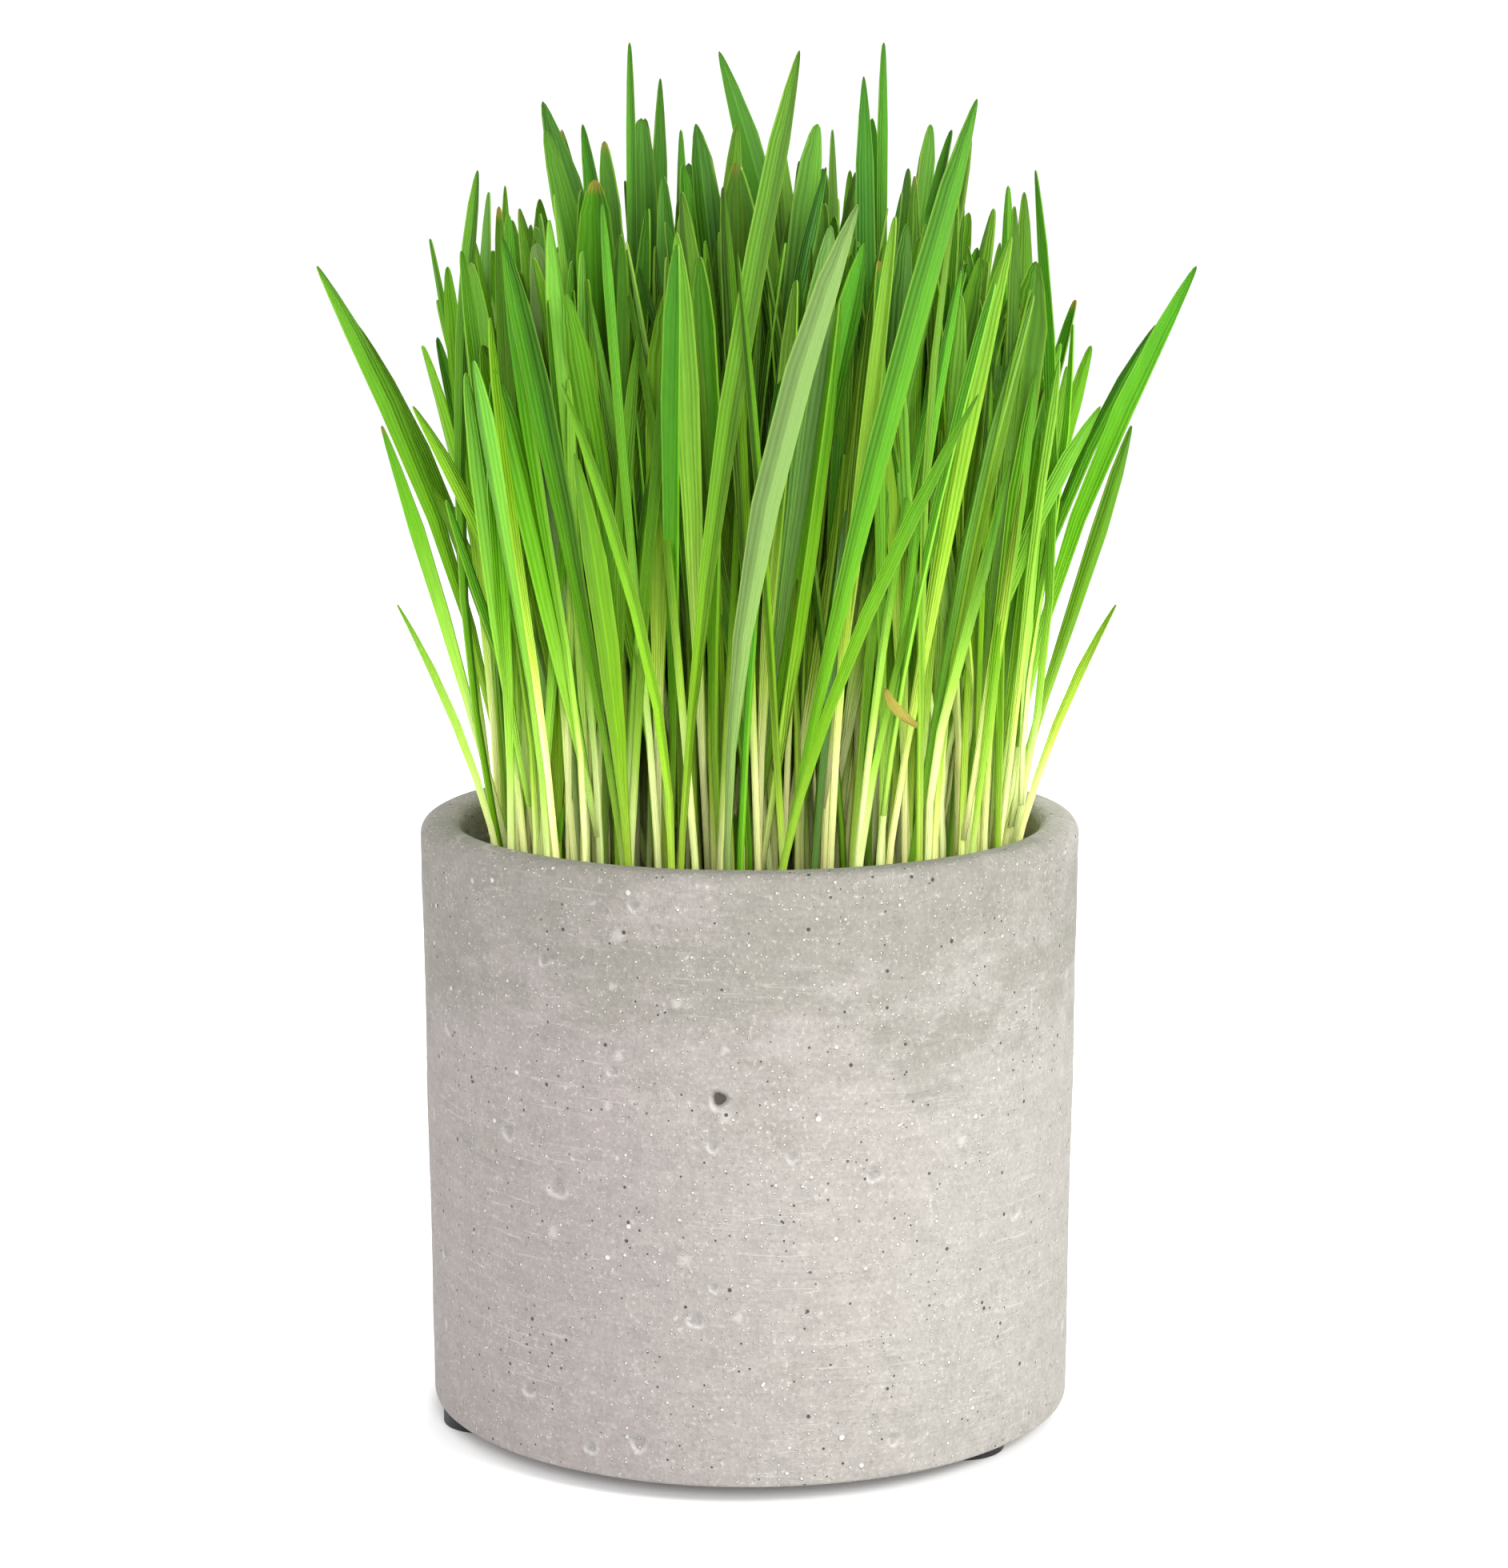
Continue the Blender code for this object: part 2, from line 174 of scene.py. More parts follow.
    def ramp(self, value: object, stops: tuple[tuple[float, Colour], ...]) -> Socket:
        """Colour read from a ramp.

        Args:
            value: the place on the ramp, from 0 to 1.
            stops: places with their colours, in order.

        Returns:
            Colour socket.
        """
        made = self.node("ShaderNodeValToRGB", {0: value})
        elements = made.color_ramp.elements
        while len(elements) < len(stops):
            elements.new(0.5)
        for element, (position, colour) in zip(elements, stops):
            element.position = position
            element.color = (*colour, 1.0)
        return made.outputs[0]

    def bump(self, height: object, depth: float, under: object = None) -> Socket:
        """Normal that a height raises.

        Args:
            height: the height, from 0 to 1.
            depth: how far 1 stands up, in metres.
            under: an earlier normal that this one lies on.

        Returns:
            Normal socket.
        """
        inputs = {"Height": height, "Distance": depth, "Strength": 1.0}
        if under is not None:
            inputs["Normal"] = under
        return self.node("ShaderNodeBump", inputs).outputs[0]

    def finish(self, **values: object) -> bpy.types.Material:
        """Set the shader's sockets and hand the material back.

        Args:
            values: values or sockets by input name, with underscores for spaces.

        Returns:
            The material.
        """
        for key, value in values.items():
            self.join(value, self.shader.inputs[key.replace("_", " ")])
        return self.material


@dataclass(frozen=True)
class ConcreteFinish:
    """Pale cast concrete with pinholes, specks, faint rings and damp-looking patches, and with painted light
    and shade: darker on the left, round the bubbles and in the holes.
    """

    # light is the pale concrete in painted light on the right, rosy the concrete in painted shade on the left
    light: Colour = (0.272, 0.259, 0.237)
    dull: Colour = (0.172, 0.165, 0.140)
    rosy_painted_shade: Colour = (0.240, 0.214, 0.206)
    chalk_and_highlight: Colour = (0.560, 0.545, 0.520)
    painted_shade_grey: Colour = (0.190, 0.192, 0.186)
    painted_pinhole_shade: Colour = (0.030, 0.027, 0.024)
    painted_hole_shade: Colour = (0.075, 0.062, 0.048)
    ring_tilt: float = 0.035
    least_tone: float = 0.27
    ring_share: float = 0.24
    mottle_share: float = 0.50
    grain_share: float = 0.72
    patch_strength: float = 0.74
    scratch_strength: float = 0.20
    crumb_strength: float = 0.35
    speck_strength: float = 0.68
    dent_shade_strength: float = 0.60
    lip_highlight_strength: float = 0.42
    pinhole_shade_strength: float = 0.92

    def ground(self, sheet: Sheet) -> Socket:
        """Rosy concrete darkened by painted shade on the left to pale concrete in painted light on the right,
        with duller patches towards the rim.

        Args:
            sheet: the material being made.

        Returns:
            Colour socket.
        """
        place = sheet.node("ShaderNodeSeparateXYZ", {0: sheet.place})
        high = sheet.span(place.outputs[2], 0.045, 0.104, -0.06, 0.14)
        streaked = sheet.cloud(30.0, 9.0, 0.74, sheet.stretch((1.0, 1.0, 2.2), self.ring_tilt))
        patches = sheet.span(sheet.calc("ADD", streaked, high), 0.50, 0.70)
        # painted light and shade: darker and rosier on the left, lighter on the right, as the light falls
        side = sheet.plus(place.outputs[0], sheet.cloud(14.0), 0.05)
        tint = sheet.span(side, -0.03, 0.09)
        plain = sheet.blend(tint, self.rosy_painted_shade, self.light)
        return sheet.cover(plain, self.dull, patches, self.patch_strength)

    def scratches(self, sheet: Sheet) -> Socket:
        """Thin level lines that the mould and a brush left in places.

        Args:
            sheet: the material being made.

        Returns:
            Mask socket.
        """
        brush = sheet.cloud(26.0, 2.0, 0.5, sheet.stretch((1.0, 1.0, 24.0), self.ring_tilt))
        lines = sheet.calc("ABSOLUTE", sheet.calc("SUBTRACT", brush, 0.5))
        lines = sheet.span(lines, 0.0, 0.016, 1.0, 0.0)
        return sheet.calc("MULTIPLY", lines, sheet.span(sheet.cloud(36.0, 4.0), 0.46, 0.60))

    def specks(self, sheet: Sheet) -> Socket:
        """White specks of three sizes, the largest in clusters: partly white grains, partly painted
        highlights on tiny raised bumps.

        Args:
            sheet: the material being made.

        Returns:
            Mask socket.
        """
        small = sheet.calc("MAXIMUM", sheet.spots(980.0, 0.27, 0.85), sheet.spots(430.0, 0.17, 0.85))
        clusters = sheet.span(sheet.cloud(50.0), 0.46, 0.53)
        large = sheet.calc("MULTIPLY", sheet.spots(250.0, 0.17, 0.9), clusters)
        return sheet.calc("MAXIMUM", small, large)

    def pits(self, sheet: Sheet) -> Socket:
        """Pinholes of three sizes, the smallest in clusters, where painted shade darkens the concrete.

        Args:
            sheet: the material being made.

        Returns:
            Mask socket.
        """
        lone = sheet.calc("MAXIMUM", sheet.spots(290.0, 0.12, 0.75), sheet.spots(520.0, 0.13, 0.35))
        clusters = sheet.span(sheet.cloud(75.0), 0.50, 0.56)
        small = sheet.calc("MULTIPLY", sheet.spots(640.0, 0.16, 0.8), clusters)
        return sheet.calc("MAXIMUM", lone, small)

    def build(self) -> bpy.types.Material:
        """Make the material.

        Returns:
            The material, which reads the attributes lip (painted highlight on the bubble rims), dent (painted
            shade in the bubble dents) and the painted shade in the deepest holes.
        """
        sheet = Sheet("cast_concrete")
        rings = sheet.cloud(48.0, 4.0, 0.62, sheet.stretch((1.0, 1.0, 14.0), self.ring_tilt))
        mottle = sheet.cloud(260.0, 5.0, 0.70)
        grain = sheet.cloud(1300.0, 3.0, 0.65)
        # crumbs: white grain, partly a painted highlight on the tiny bumps of the grain
        crumbs = sheet.span(grain, 0.60, 0.72)
        scratches = self.scratches(sheet)
        specks = self.specks(sheet)
        pits = self.pits(sheet)
        tone = sheet.plus(self.least_tone, rings, self.ring_share)
        tone = sheet.plus(tone, mottle, self.mottle_share)
        tone = sheet.plus(tone, grain, self.grain_share)
        shade = sheet.node("ShaderNodeCombineColor", {0: tone, 1: tone, 2: tone}).outputs[0]
        colour = sheet.blend(1.0, self.ground(sheet), shade, "MULTIPLY")
        layers = (
            (self.chalk_and_highlight, scratches, self.scratch_strength),
            (self.chalk_and_highlight, crumbs, self.crumb_strength),
            (self.chalk_and_highlight, specks, self.speck_strength),
            # painted shade on the upper rims and insides of the bubble dents, then a painted highlight on
            # their lower rims and on the lower sides of blisters
            (self.painted_shade_grey, sheet.attribute("dent"), self.dent_shade_strength),
            (self.chalk_and_highlight, sheet.attribute("lip"), self.lip_highlight_strength),
            # painted shade inside the pinholes
            (self.painted_pinhole_shade, pits, self.pinhole_shade_strength),
            # painted shade inside the deepest holes
            (self.painted_hole_shade, sheet.span(sheet.attribute("painted_hole_shade"), 0.25, 0.45), 1.0),
        )
        for over, mask, strength in layers:
            colour = sheet.cover(colour, over, mask, strength)
        reliefs = (
            (sheet.calc("ADD", rings, mottle), 0.00020),
            (grain, 0.00022),
            (scratches, 0.00004),
            (specks, 0.00024),
            (sheet.calc("SUBTRACT", 1.0, pits), 0.00030),
        )
        normal = None
        for height, depth in reliefs:
            normal = sheet.bump(height, depth, normal)
        rough = sheet.span(grain, 0.2, 0.8, 0.78, 0.95)
        return sheet.finish(Base_Color=colour, Roughness=rough, Normal=normal)


@dataclass(frozen=True)
class RubberFinish:
    """Matt black rubber with a little dust and a moulded grain."""

    black: Colour = (0.010, 0.010, 0.011)
    dust: Colour = (0.060, 0.057, 0.052)

    def build(self) -> bpy.types.Material:
        """Make the material.

        Returns:
            The material.
        """
        sheet = Sheet("foot_rubber")
        dusty = sheet.span(sheet.cloud(260.0, 4.0, 0.6), 0.52, 0.75)
        grain = sheet.cloud(2600.0, 2.0)
        colour = sheet.cover(self.black, self.dust, dusty, 0.5)
        rough = sheet.span(grain, 0.3, 0.7, 0.62, 0.80)
        return sheet.finish(Base_Color=colour, Roughness=rough, Normal=sheet.bump(grain, 0.00003))


@dataclass(frozen=True)
class EarthFinish:
    """Dark, damp potting soil with lighter crumbs and fibres."""

    dark: Colour = (0.020, 0.013, 0.008)
    crumb: Colour = (0.095, 0.060, 0.036)
    fibre: Colour = (0.260, 0.190, 0.110)

    def build(self) -> bpy.types.Material:
        """Make the material.

        Returns:
            The material.
        """
        sheet = Sheet("damp_earth")
        clods = sheet.cloud(420.0, 6.0, 0.65)
        fine = sheet.cloud(1700.0, 3.0, 0.6)
        strands = sheet.cloud(240.0, 2.0, 0.5, sheet.stretch((5.0, 1.0, 1.0), 0.4))
        colour = sheet.blend(sheet.span(clods, 0.42, 0.66), self.dark, self.crumb)
        colour = sheet.blend(sheet.span(strands, 0.66, 0.72, 0.0, 0.7), colour, self.fibre)
        normal = sheet.bump(clods, 0.0012)
        normal = sheet.bump(fine, 0.0004, normal)
        rough = sheet.span(clods, 0.3, 0.7, 0.70, 0.98)
        return sheet.finish(Base_Color=colour, Roughness=rough, Normal=normal)


@dataclass(frozen=True)
class SeedFinish:
    """Straw-coloured husks, each of its own shade."""

    pale: Colour = (0.520, 0.360, 0.150)
    brown: Colour = (0.200, 0.110, 0.045)

    def build(self) -> bpy.types.Material:
        """Make the material.

        Returns:
            The material, which reads the attribute tone.
        """
        sheet = Sheet("seed_husk")
        ribs = sheet.cloud(1500.0, 3.0, 0.6)
        own = sheet.attribute("tone")
        colour = sheet.blend(own, self.brown, self.pale)
        colour = sheet.blend(sheet.span(ribs, 0.45, 0.70, 0.0, 0.5), colour, self.brown)
        rough = sheet.span(ribs, 0.3, 0.7, 0.45, 0.65)
        return sheet.finish(Base_Color=colour, Roughness=rough, Normal=sheet.bump(ribs, 0.0002))


@dataclass(frozen=True)
class LeafFinish:
    """White stem to green blade, with fine ribs, a satin skin and light coming through."""

    stem: Colour = (0.900, 0.960, 0.400)
    collar: Colour = (0.480, 0.760, 0.075)
    young: Colour = (0.250, 0.590, 0.010)
    full: Colour = (0.145, 0.430, 0.014)
    deep: Colour = (0.095, 0.275, 0.020)
    bloom_and_sheen: Colour = (0.165, 0.305, 0.090)
    dry: Colour = (0.420, 0.300, 0.060)
    sunlit: Colour = (0.42, 0.74, 0.0)
    colour_length: float = 0.150
    outer_lag: float = 0.004
    glow: float = 0.42
    sunlit_share: float = 0.35
    rib_waves: float = 17.0
    rib_strength: float = 0.05
    midrib_strength: float = 0.18
    mottle_strength: float = 0.30
    margin_strength: float = 0.22
    dry_strength: float = 0.85
    lightest_shade: float = 0.80
    brightest: float = 1.26
    gloss: float = 0.22

    def climb(self, sheet: Sheet) -> tuple[Socket, Socket]:
        """Where a point is on its shoot and in the tuft.

        Args:
            sheet: the material being made.

        Returns:
            Height up the shoot's colours, 0 at the mat, and a painted shade factor that darkens points near
            the axis below the top of the tuft, 1 for none.
        """
        place = sheet.node("ShaderNodeSeparateXYZ", {0: sheet.place})
        level = sheet.node("ShaderNodeCombineXYZ", {0: place.outputs[0], 1: place.outputs[1]})
        reach = sheet.node("ShaderNodeVectorMath", {0: level.outputs[0]}, operation="LENGTH")
        radius = reach.outputs["Value"]
        # painted shade: points near the axis are darkened, less so near the top of the tuft
        inside = sheet.span(radius, 0.016, 0.044, 0.66, 1.0)
        open_air = sheet.calc("MULTIPLY", sheet.span(place.outputs[2], 0.185, 0.235), 0.95)
        outer = sheet.span(radius, 0.036, 0.046)
        height = sheet.plus(place.outputs[2], outer, -self.outer_lag)
        height = sheet.calc("ADD", height, sheet.attribute("lift"))
        height = sheet.calc("SUBTRACT", height, MAT_TOP)
        height = sheet.calc("DIVIDE", height, self.colour_length)
        return height, sheet.calc("MAXIMUM", inside, open_air)

    def brightness(self, sheet: Sheet, height: Socket, blade: Socket, ribs: Socket, mottle: Socket) -> Socket:
        """How light each point is, 1 for its plain colour.

        Args:
            sheet: the material being made.
            height: height up the shoot's colours.
            blade: 0 on the stem and 1 on the blade.
            ribs: the blade's fine ribs, from -1 to 1.
            mottle: uneven streaks, from 0 to 1.

        Returns:
            Value socket.
        """
        across = sheet.attribute("across")
        own = sheet.calc("POWER", sheet.calc("MINIMUM", sheet.attribute("shade"), self.lightest_shade), 1.4)
        own = sheet.calc("MULTIPLY_ADD", own, 0.84, -0.42)
        # painted light makes the low stems lighter than their own pale colour; higher up the blades are a
        # little darker, then lighter again towards the tips
        plain = sheet.span(height, 0.08, 0.30, 1.24, 0.88)
        plain = sheet.calc("ADD", plain, sheet.span(height, 0.62, 0.86, 0.0, 0.13))
        value = sheet.calc("MULTIPLY_ADD", own, sheet.span(height, 0.06, 0.34, 0.25, 1.0), plain)
        # painted shade on folded blades: one half is made lighter and the other darker
        side = sheet.span(across, -0.30, 0.30, -1.0, 1.0)
        half_shade = sheet.calc("MULTIPLY", side, sheet.attribute("painted_fold_shade"))
        midrib = sheet.span(sheet.calc("ABSOLUTE", across), 0.03, 0.10, 1.0, 0.0)
        for part, strength in ((ribs, self.rib_strength), (half_shade, 1.0), (midrib, self.midrib_strength)):
            value = sheet.plus(value, sheet.calc("MULTIPLY", part, blade), strength)
        value = sheet.plus(value, sheet.calc("SUBTRACT", mottle, 0.5), self.mottle_strength)
        return sheet.calc("MINIMUM", value, self.brightest)

    def tinted(self, sheet: Sheet, colour: Socket, value: Socket) -> Socket:
        """The colour with each leaf's own hue and lightness.

        Args:
            sheet: the material being made.
            colour: the colour for the height.
            value: what the colour's lightness is multiplied by.

        Returns:
            Colour socket.
        """
        shade = sheet.attribute("shade")
        # the lightest leaves turn pale: partly a waxy bloom, partly a painted sheen
        colour = sheet.blend(sheet.span(shade, 0.95, 1.0, 0.0, 0.8), colour, self.bloom_and_sheen)
        hue = sheet.plus(0.518, sheet.attribute("tone"), -0.034)
        hue = sheet.calc("SUBTRACT", hue, sheet.span(shade, 0.50, 0.85, 0.0, 0.010))
        fresh = sheet.span(shade, 0.55, 0.90, 1.0, 0.93)
        inputs = {"Hue": hue, "Saturation": fresh, "Value": value, "Color": colour}
        return sheet.node("ShaderNodeHueSaturation", inputs).outputs[0]

    def build(self) -> bpy.types.Material:
        """Make the material.

        Returns:
            The material, which reads the attributes that GrassLeaves stores.
        """
        sheet = Sheet("grass_leaf")
        across = sheet.attribute("across")
        age = sheet.attribute("age")
        height, light = self.climb(sheet)
        blade = sheet.span(height, 0.14, 0.34)
        ribs = sheet.calc("SINE", sheet.calc("MULTIPLY", across, self.rib_waves))
        mottle = sheet.cloud(700.0, 3.0, 0.6, sheet.stretch((1.0, 1.0, 0.12)))
        stops = (
            (0.05, self.stem), (0.16, self.collar), (0.34, self.young), (0.60, self.full), (0.92, self.deep),
        )
        value = sheet.calc("MULTIPLY", self.brightness(sheet, height, blade, ribs, mottle), light)
        colour = self.tinted(sheet, sheet.ramp(height, stops), value)
        margin = sheet.span(sheet.calc("ABSOLUTE", across), 0.86, 0.97)
        margin = sheet.calc("MULTIPLY", margin, blade)
        colour = sheet.cover(colour, self.collar, margin, self.margin_strength)
        tip = sheet.span(sheet.attribute("along"), 0.975, 1.0)
        dried = sheet.calc("MULTIPLY", tip, sheet.span(age, 0.80, 0.90))
        dried = sheet.calc("MAXIMUM", dried, sheet.span(age, 0.93, 0.98))
        colour = sheet.cover(colour, self.dry, dried, self.dry_strength)
        normal = sheet.bump(ribs, 0.00006)
        rough = sheet.span(mottle, 0.3, 0.7, 0.34, 0.50)
        sheet.finish(Base_Color=colour, Roughness=rough, Normal=normal, Specular_IOR_Level=self.gloss)
        through = sheet.blend(self.sunlit_share, colour, self.sunlit, "SCREEN")
        thin = sheet.node("ShaderNodeBsdfTranslucent", {"Color": through, "Normal": normal})
        glow = sheet.calc("MULTIPLY", sheet.span(height, 0.10, 0.40, 0.5, 1.0), self.glow)
        layers = {0: glow, 1: sheet.shader.outputs[0], 2: thin.outputs[0]}
        both = sheet.node("ShaderNodeMixShader", layers)
        sheet.join(both.outputs[0], sheet.output.inputs["Surface"])
        return sheet.material


@dataclass(frozen=True)
class FloorFinish:
    """Plain pale floor with the faintest unevenness."""

    pale: Colour = (0.95, 0.95, 0.95)
    dimmer_share: float = 0.985
    roughness: float = 0.6

    def build(self) -> bpy.types.Material:
        """Make the material.

        Returns:
            The material.
        """
        sheet = Sheet("pale_floor")
        dimmer = tuple(part * self.dimmer_share for part in self.pale)
        colour = sheet.blend(sheet.cloud(3.0, 2.0), self.pale, dimmer)
        return sheet.finish(Base_Color=colour, Roughness=self.roughness)


def rounded(
    before: ProfilePoint, corner: ProfilePoint, after: ProfilePoint, radius: float, steps: int
) -> list[ProfilePoint]:
    """Arc that rounds one corner of a turned profile.

    Args:
        before: the point the profile comes from.
        corner: the sharp corner.
        after: the point the profile goes to.
        radius: the arc's radius.
        steps: how many segments the arc has.

    Returns:
        The arc's points as (radius, z).
    """
    to_before = (Vector(before) - Vector(corner)).normalized()
    to_after = (Vector(after) - Vector(corner)).normalized()
    half = to_before.angle(to_after) / 2.0
    centre = Vector(corner) + (to_before + to_after).normalized() * radius / math.sin(half)
    start = Vector(corner) + to_before * radius / math.tan(half) - centre
    end = Vector(corner) + to_after * radius / math.tan(half) - centre
    sweep = start.angle(end)
    points = []
    for step in range(steps + 1):
        share = step / steps
        turned_start = start * math.sin((1.0 - share) * sweep) / math.sin(sweep)
        turned_end = end * math.sin(share * sweep) / math.sin(sweep)
        points.append(tuple(centre + turned_start + turned_end))
    return points


def filled(profile: list[ProfilePoint], spacing: float) -> list[ProfilePoint]:
    """Profile with points added on its long stretches.

    Args:
        profile: (radius, z) points.
        spacing: the furthest that two neighbours may be apart.

    Returns:
        The finer profile.
    """
    points = [profile[0]]
    for start, end in zip(profile, profile[1:]):
        pieces = max(1, math.ceil(math.dist(start, end) / spacing))
        for step in range(1, pieces + 1):
            points.append(tuple(Vector(start).lerp(Vector(end), step / pieces)))
    return points


def turned(profile: list[ProfilePoint], steps: int) -> bmesh.types.BMesh:
    """Closed solid of revolution about Z.

    Args:
        profile: (radius, z) points from the axis back to the axis.
        steps: segments round the axis.

    Returns:
        The new bmesh, faces outwards.
    """
    bm = bmesh.new()
    verts = [bm.verts.new((radius, 0.0, z)) for radius, z in profile]
    edges = [bm.edges.new(pair) for pair in zip(verts, verts[1:])]
    full_turn = {"cent": (0, 0, 0), "axis": (0, 0, 1), "angle": math.tau, "use_merge": True}
    bmesh.ops.spin(bm, geom=verts + edges, steps=steps, **full_turn)
    bmesh.ops.remove_doubles(bm, verts=bm.verts, dist=1e-6)
    bmesh.ops.recalc_face_normals(bm, faces=bm.faces)
    return bm


def piece_from(
    bm: bmesh.types.BMesh, name: str, material: bpy.types.Material, nodes: tuple[str, ...] = ()
) -> bpy.types.Object:
    """Turn a bmesh into a finished piece that rides on the root body.

    Args:
        bm: the shape, freed here.
        name: the piece's name.
        material: its finish.
        nodes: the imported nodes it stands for.

    Returns:
        The linked object.
    """
    mesh = bpy.data.meshes.new(name)
    bm.to_mesh(mesh)
    bm.free()
    mesh.materials.append(material)
    piece = bpy.data.objects.new(name, mesh)
    bpy.context.scene.collection.objects.link(piece)
    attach(piece, "root")
    if nodes:
        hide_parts(*nodes)
    LOG.info("%s: %d faces", name, len(mesh.polygons))
    return piece


@dataclass(frozen=True)
class Bubble:
    """An air bubble's dent or blister in the wall: degrees from the front, then millimetres."""

    angle: float
    height: float
    radius: float
    depth: float


@dataclass
class ConcretePot:
    """The turned and cast pot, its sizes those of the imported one."""

    bottom: float = 0.0030
    top: float = 0.1108
    rim_radius: float = 0.060
    base_radius: float = 0.0589
    bore_top: float = 0.0527
    bore_floor: float = 0.0500
    floor: float = 0.0118
    rim_round: float = 0.0026
    base_round: float = 0.0008
    bore_round: float = 0.004
    steps: int = 240
    spacing: float = 0.0017
    wave: float = 0.00016
    ripple: float = 0.00006
    lip_height: float = 0.06
    hidden_count: int = 70
    hidden_angles: tuple[float, float] = (66.0, 294.0)
    hidden_heights: tuple[float, float] = (7.0, 104.0)
    hidden_depths: tuple[float, ...] = (0.40, 0.30, 0.25, -0.20)
    hole_depth: float = 1.0
    refined_reach: float = 1.9
    seen_bubbles: tuple[Bubble, ...] = (
        Bubble(-22, 100, 1.4, -0.30), Bubble(-36, 94, 1.2, 0.40), Bubble(-45, 62, 1.5, 0.60),
        Bubble(-34, 54, 2.0, 0.70), Bubble(-5, 72, 1.7, 1.60), Bubble(-4, 69.4, 1.3, -0.22),
        Bubble(-12, 89, 1.1, -0.22),
        Bubble(-22, 79, 1.1, -0.24), Bubble(-23, 91, 0.8, -0.18), Bubble(-4, 81, 0.8, -0.20),
        Bubble(-23, 76, 1.1, 0.35), Bubble(-24, 70, 0.9, -0.20), Bubble(21, 58, 1.4, 0.45),
        Bubble(7, 62, 1.1, 0.35), Bubble(-19, 10, 1.5, 0.55), Bubble(-28, 8, 1.2, 0.40),
        Bubble(-9, 33, 1.4, 0.45), Bubble(-11, 44, 1.3, -0.30), Bubble(-41, 16, 1.4, 0.45),
        Bubble(38, 62, 1.2, -0.22), Bubble(52, 46, 1.4, 0.30), Bubble(-2, 34, 1.1, -0.22),
        Bubble(25, 10, 1.2, 0.35), Bubble(-64, 77, 1.4, 0.45), Bubble(-19, 105, 1.1, 0.35),
        Bubble(-6, 64, 1.2, 0.35), Bubble(-6, 39, 0.9, 0.30), Bubble(-35, 46, 1.2, -0.22),
    )

    def profile(self) -> list[ProfilePoint]:
        """Half section from the inner floor over the rim to the underside.

        Returns:
            (radius, z) points.
        """
        inner_corner = (self.bore_floor, self.floor)
        inner_rim = (self.bore_top, self.top)
        outer_rim = (self.rim_radius, self.top)
        base_corner = (self.base_radius, self.bottom)
        points = [(0.0, self.floor)]
        points += rounded((0.0, self.floor), inner_corner, inner_rim, self.bore_round, 5)
        points += rounded(inner_corner, inner_rim, outer_rim, self.rim_round, 8)
        points += rounded(inner_rim, outer_rim, base_corner, self.rim_round, 8)
        points += rounded(outer_rim, base_corner, (0.0, self.bottom), self.base_round, 8)
        points.append((0.0, self.bottom))
        return filled(points, self.spacing)

    def bubbles(self) -> list[Bubble]:
        """The bubbles seen at the front, then seeded ones round the sides and the back.

        Returns:
            Every bubble.
        """
        rng = random.Random(23)
        found = list(self.seen_bubbles)
        for _ in range(self.hidden_count):
            angle = rng.uniform(*self.hidden_angles)
            height = rng.uniform(*self.hidden_heights)
            radius = 0.6 + 1.2 * rng.random() ** 2
            depth = radius * rng.choice(self.hidden_depths)
            found.append(Bubble(angle, height, radius, depth))
        return found

    def refine(self, bm: bmesh.types.BMesh, bubbles: list[Bubble]) -> None:
        """Cut the wall finer round each bubble.

        Args:
            bm: the pot.
            bubbles: the dents and blisters to make room for.
        """
        edges = set()
        inner = self.base_radius - MILLIMETRE
        outside = [face for face in bm.faces if face.calc_center_median().xy.length > inner]
        centres = np.array([face.calc_center_median() for face in outside])
        for bubble in bubbles:
            near = self.distance(centres, bubble) < self.refined_reach
            for index in np.flatnonzero(near):
                edges.update(outside[index].edges)
        bmesh.ops.subdivide_edges(bm, edges=list(edges), cuts=4, use_grid_fill=True)

    def distance(self, points: np.ndarray, bubble: Bubble) -> np.ndarray:
        """Distance of points on the wall from a bubble's middle.

        Args:
            points: the wall's points.
            bubble: the bubble, whose outline is slightly wavy.

        Returns:
            Distances in bubble radii.
        """
        angle = np.arctan2(points[:, 0], -points[:, 1]) - math.radians(bubble.angle)
        angle = (angle + math.pi) % math.tau - math.pi
        sideways = angle * self.rim_radius
        upwards = points[:, 2] - bubble.height * MILLIMETRE
        wave = 1.0 + 0.12 * np.sin(3.0 * np.arctan2(upwards, sideways) + bubble.angle)
        return np.hypot(sideways, upwards) / (bubble.radius * MILLIMETRE * wave)

    def shift(self, points: np.ndarray, bubbles: list[Bubble]) -> np.ndarray:
        """How far each point of the wall moves outwards.

        Args:
            points: the wall's points.
            bubbles: the dents and blisters.

        Returns:
            Distances in metres.
        """
        moved = np.array([
            self.wave * noise.noise(Vector(point) * 42.0) + self.ripple * noise.noise(Vector(point) * 160.0)
            for point in points
        ])
        for bubble in bubbles:
            far = self.distance(points, bubble)
            dent = np.clip(1.0 - far ** 2, 0.0, 1.0) ** 0.8 * bubble.depth
            lip = np.exp(-((far - 1.22) / 0.22) ** 2) * self.lip_height
            moved += (lip - dent) * MILLIMETRE
        return moved

    def stains(self, points: np.ndarray, bubbles: list[Bubble]) -> dict[str, np.ndarray]:
        """Painted highlight and painted shade that each point gets from the bubbles round it.

        Args:
            points: the wall's points.
            bubbles: the dents and blisters.

        Returns:
            Values by attribute name.
        """
        stained = {name: np.zeros(len(points)) for name in ("lip", "dent", "painted_hole_shade")}
        for bubble in bubbles:
            far = self.distance(points, bubble)
            below = self.distance(points, replace(bubble, height=bubble.height - bubble.radius * 0.35))
            above = np.clip((points[:, 2] / MILLIMETRE - bubble.height) / bubble.radius + 0.5, 0.0, 1.0)
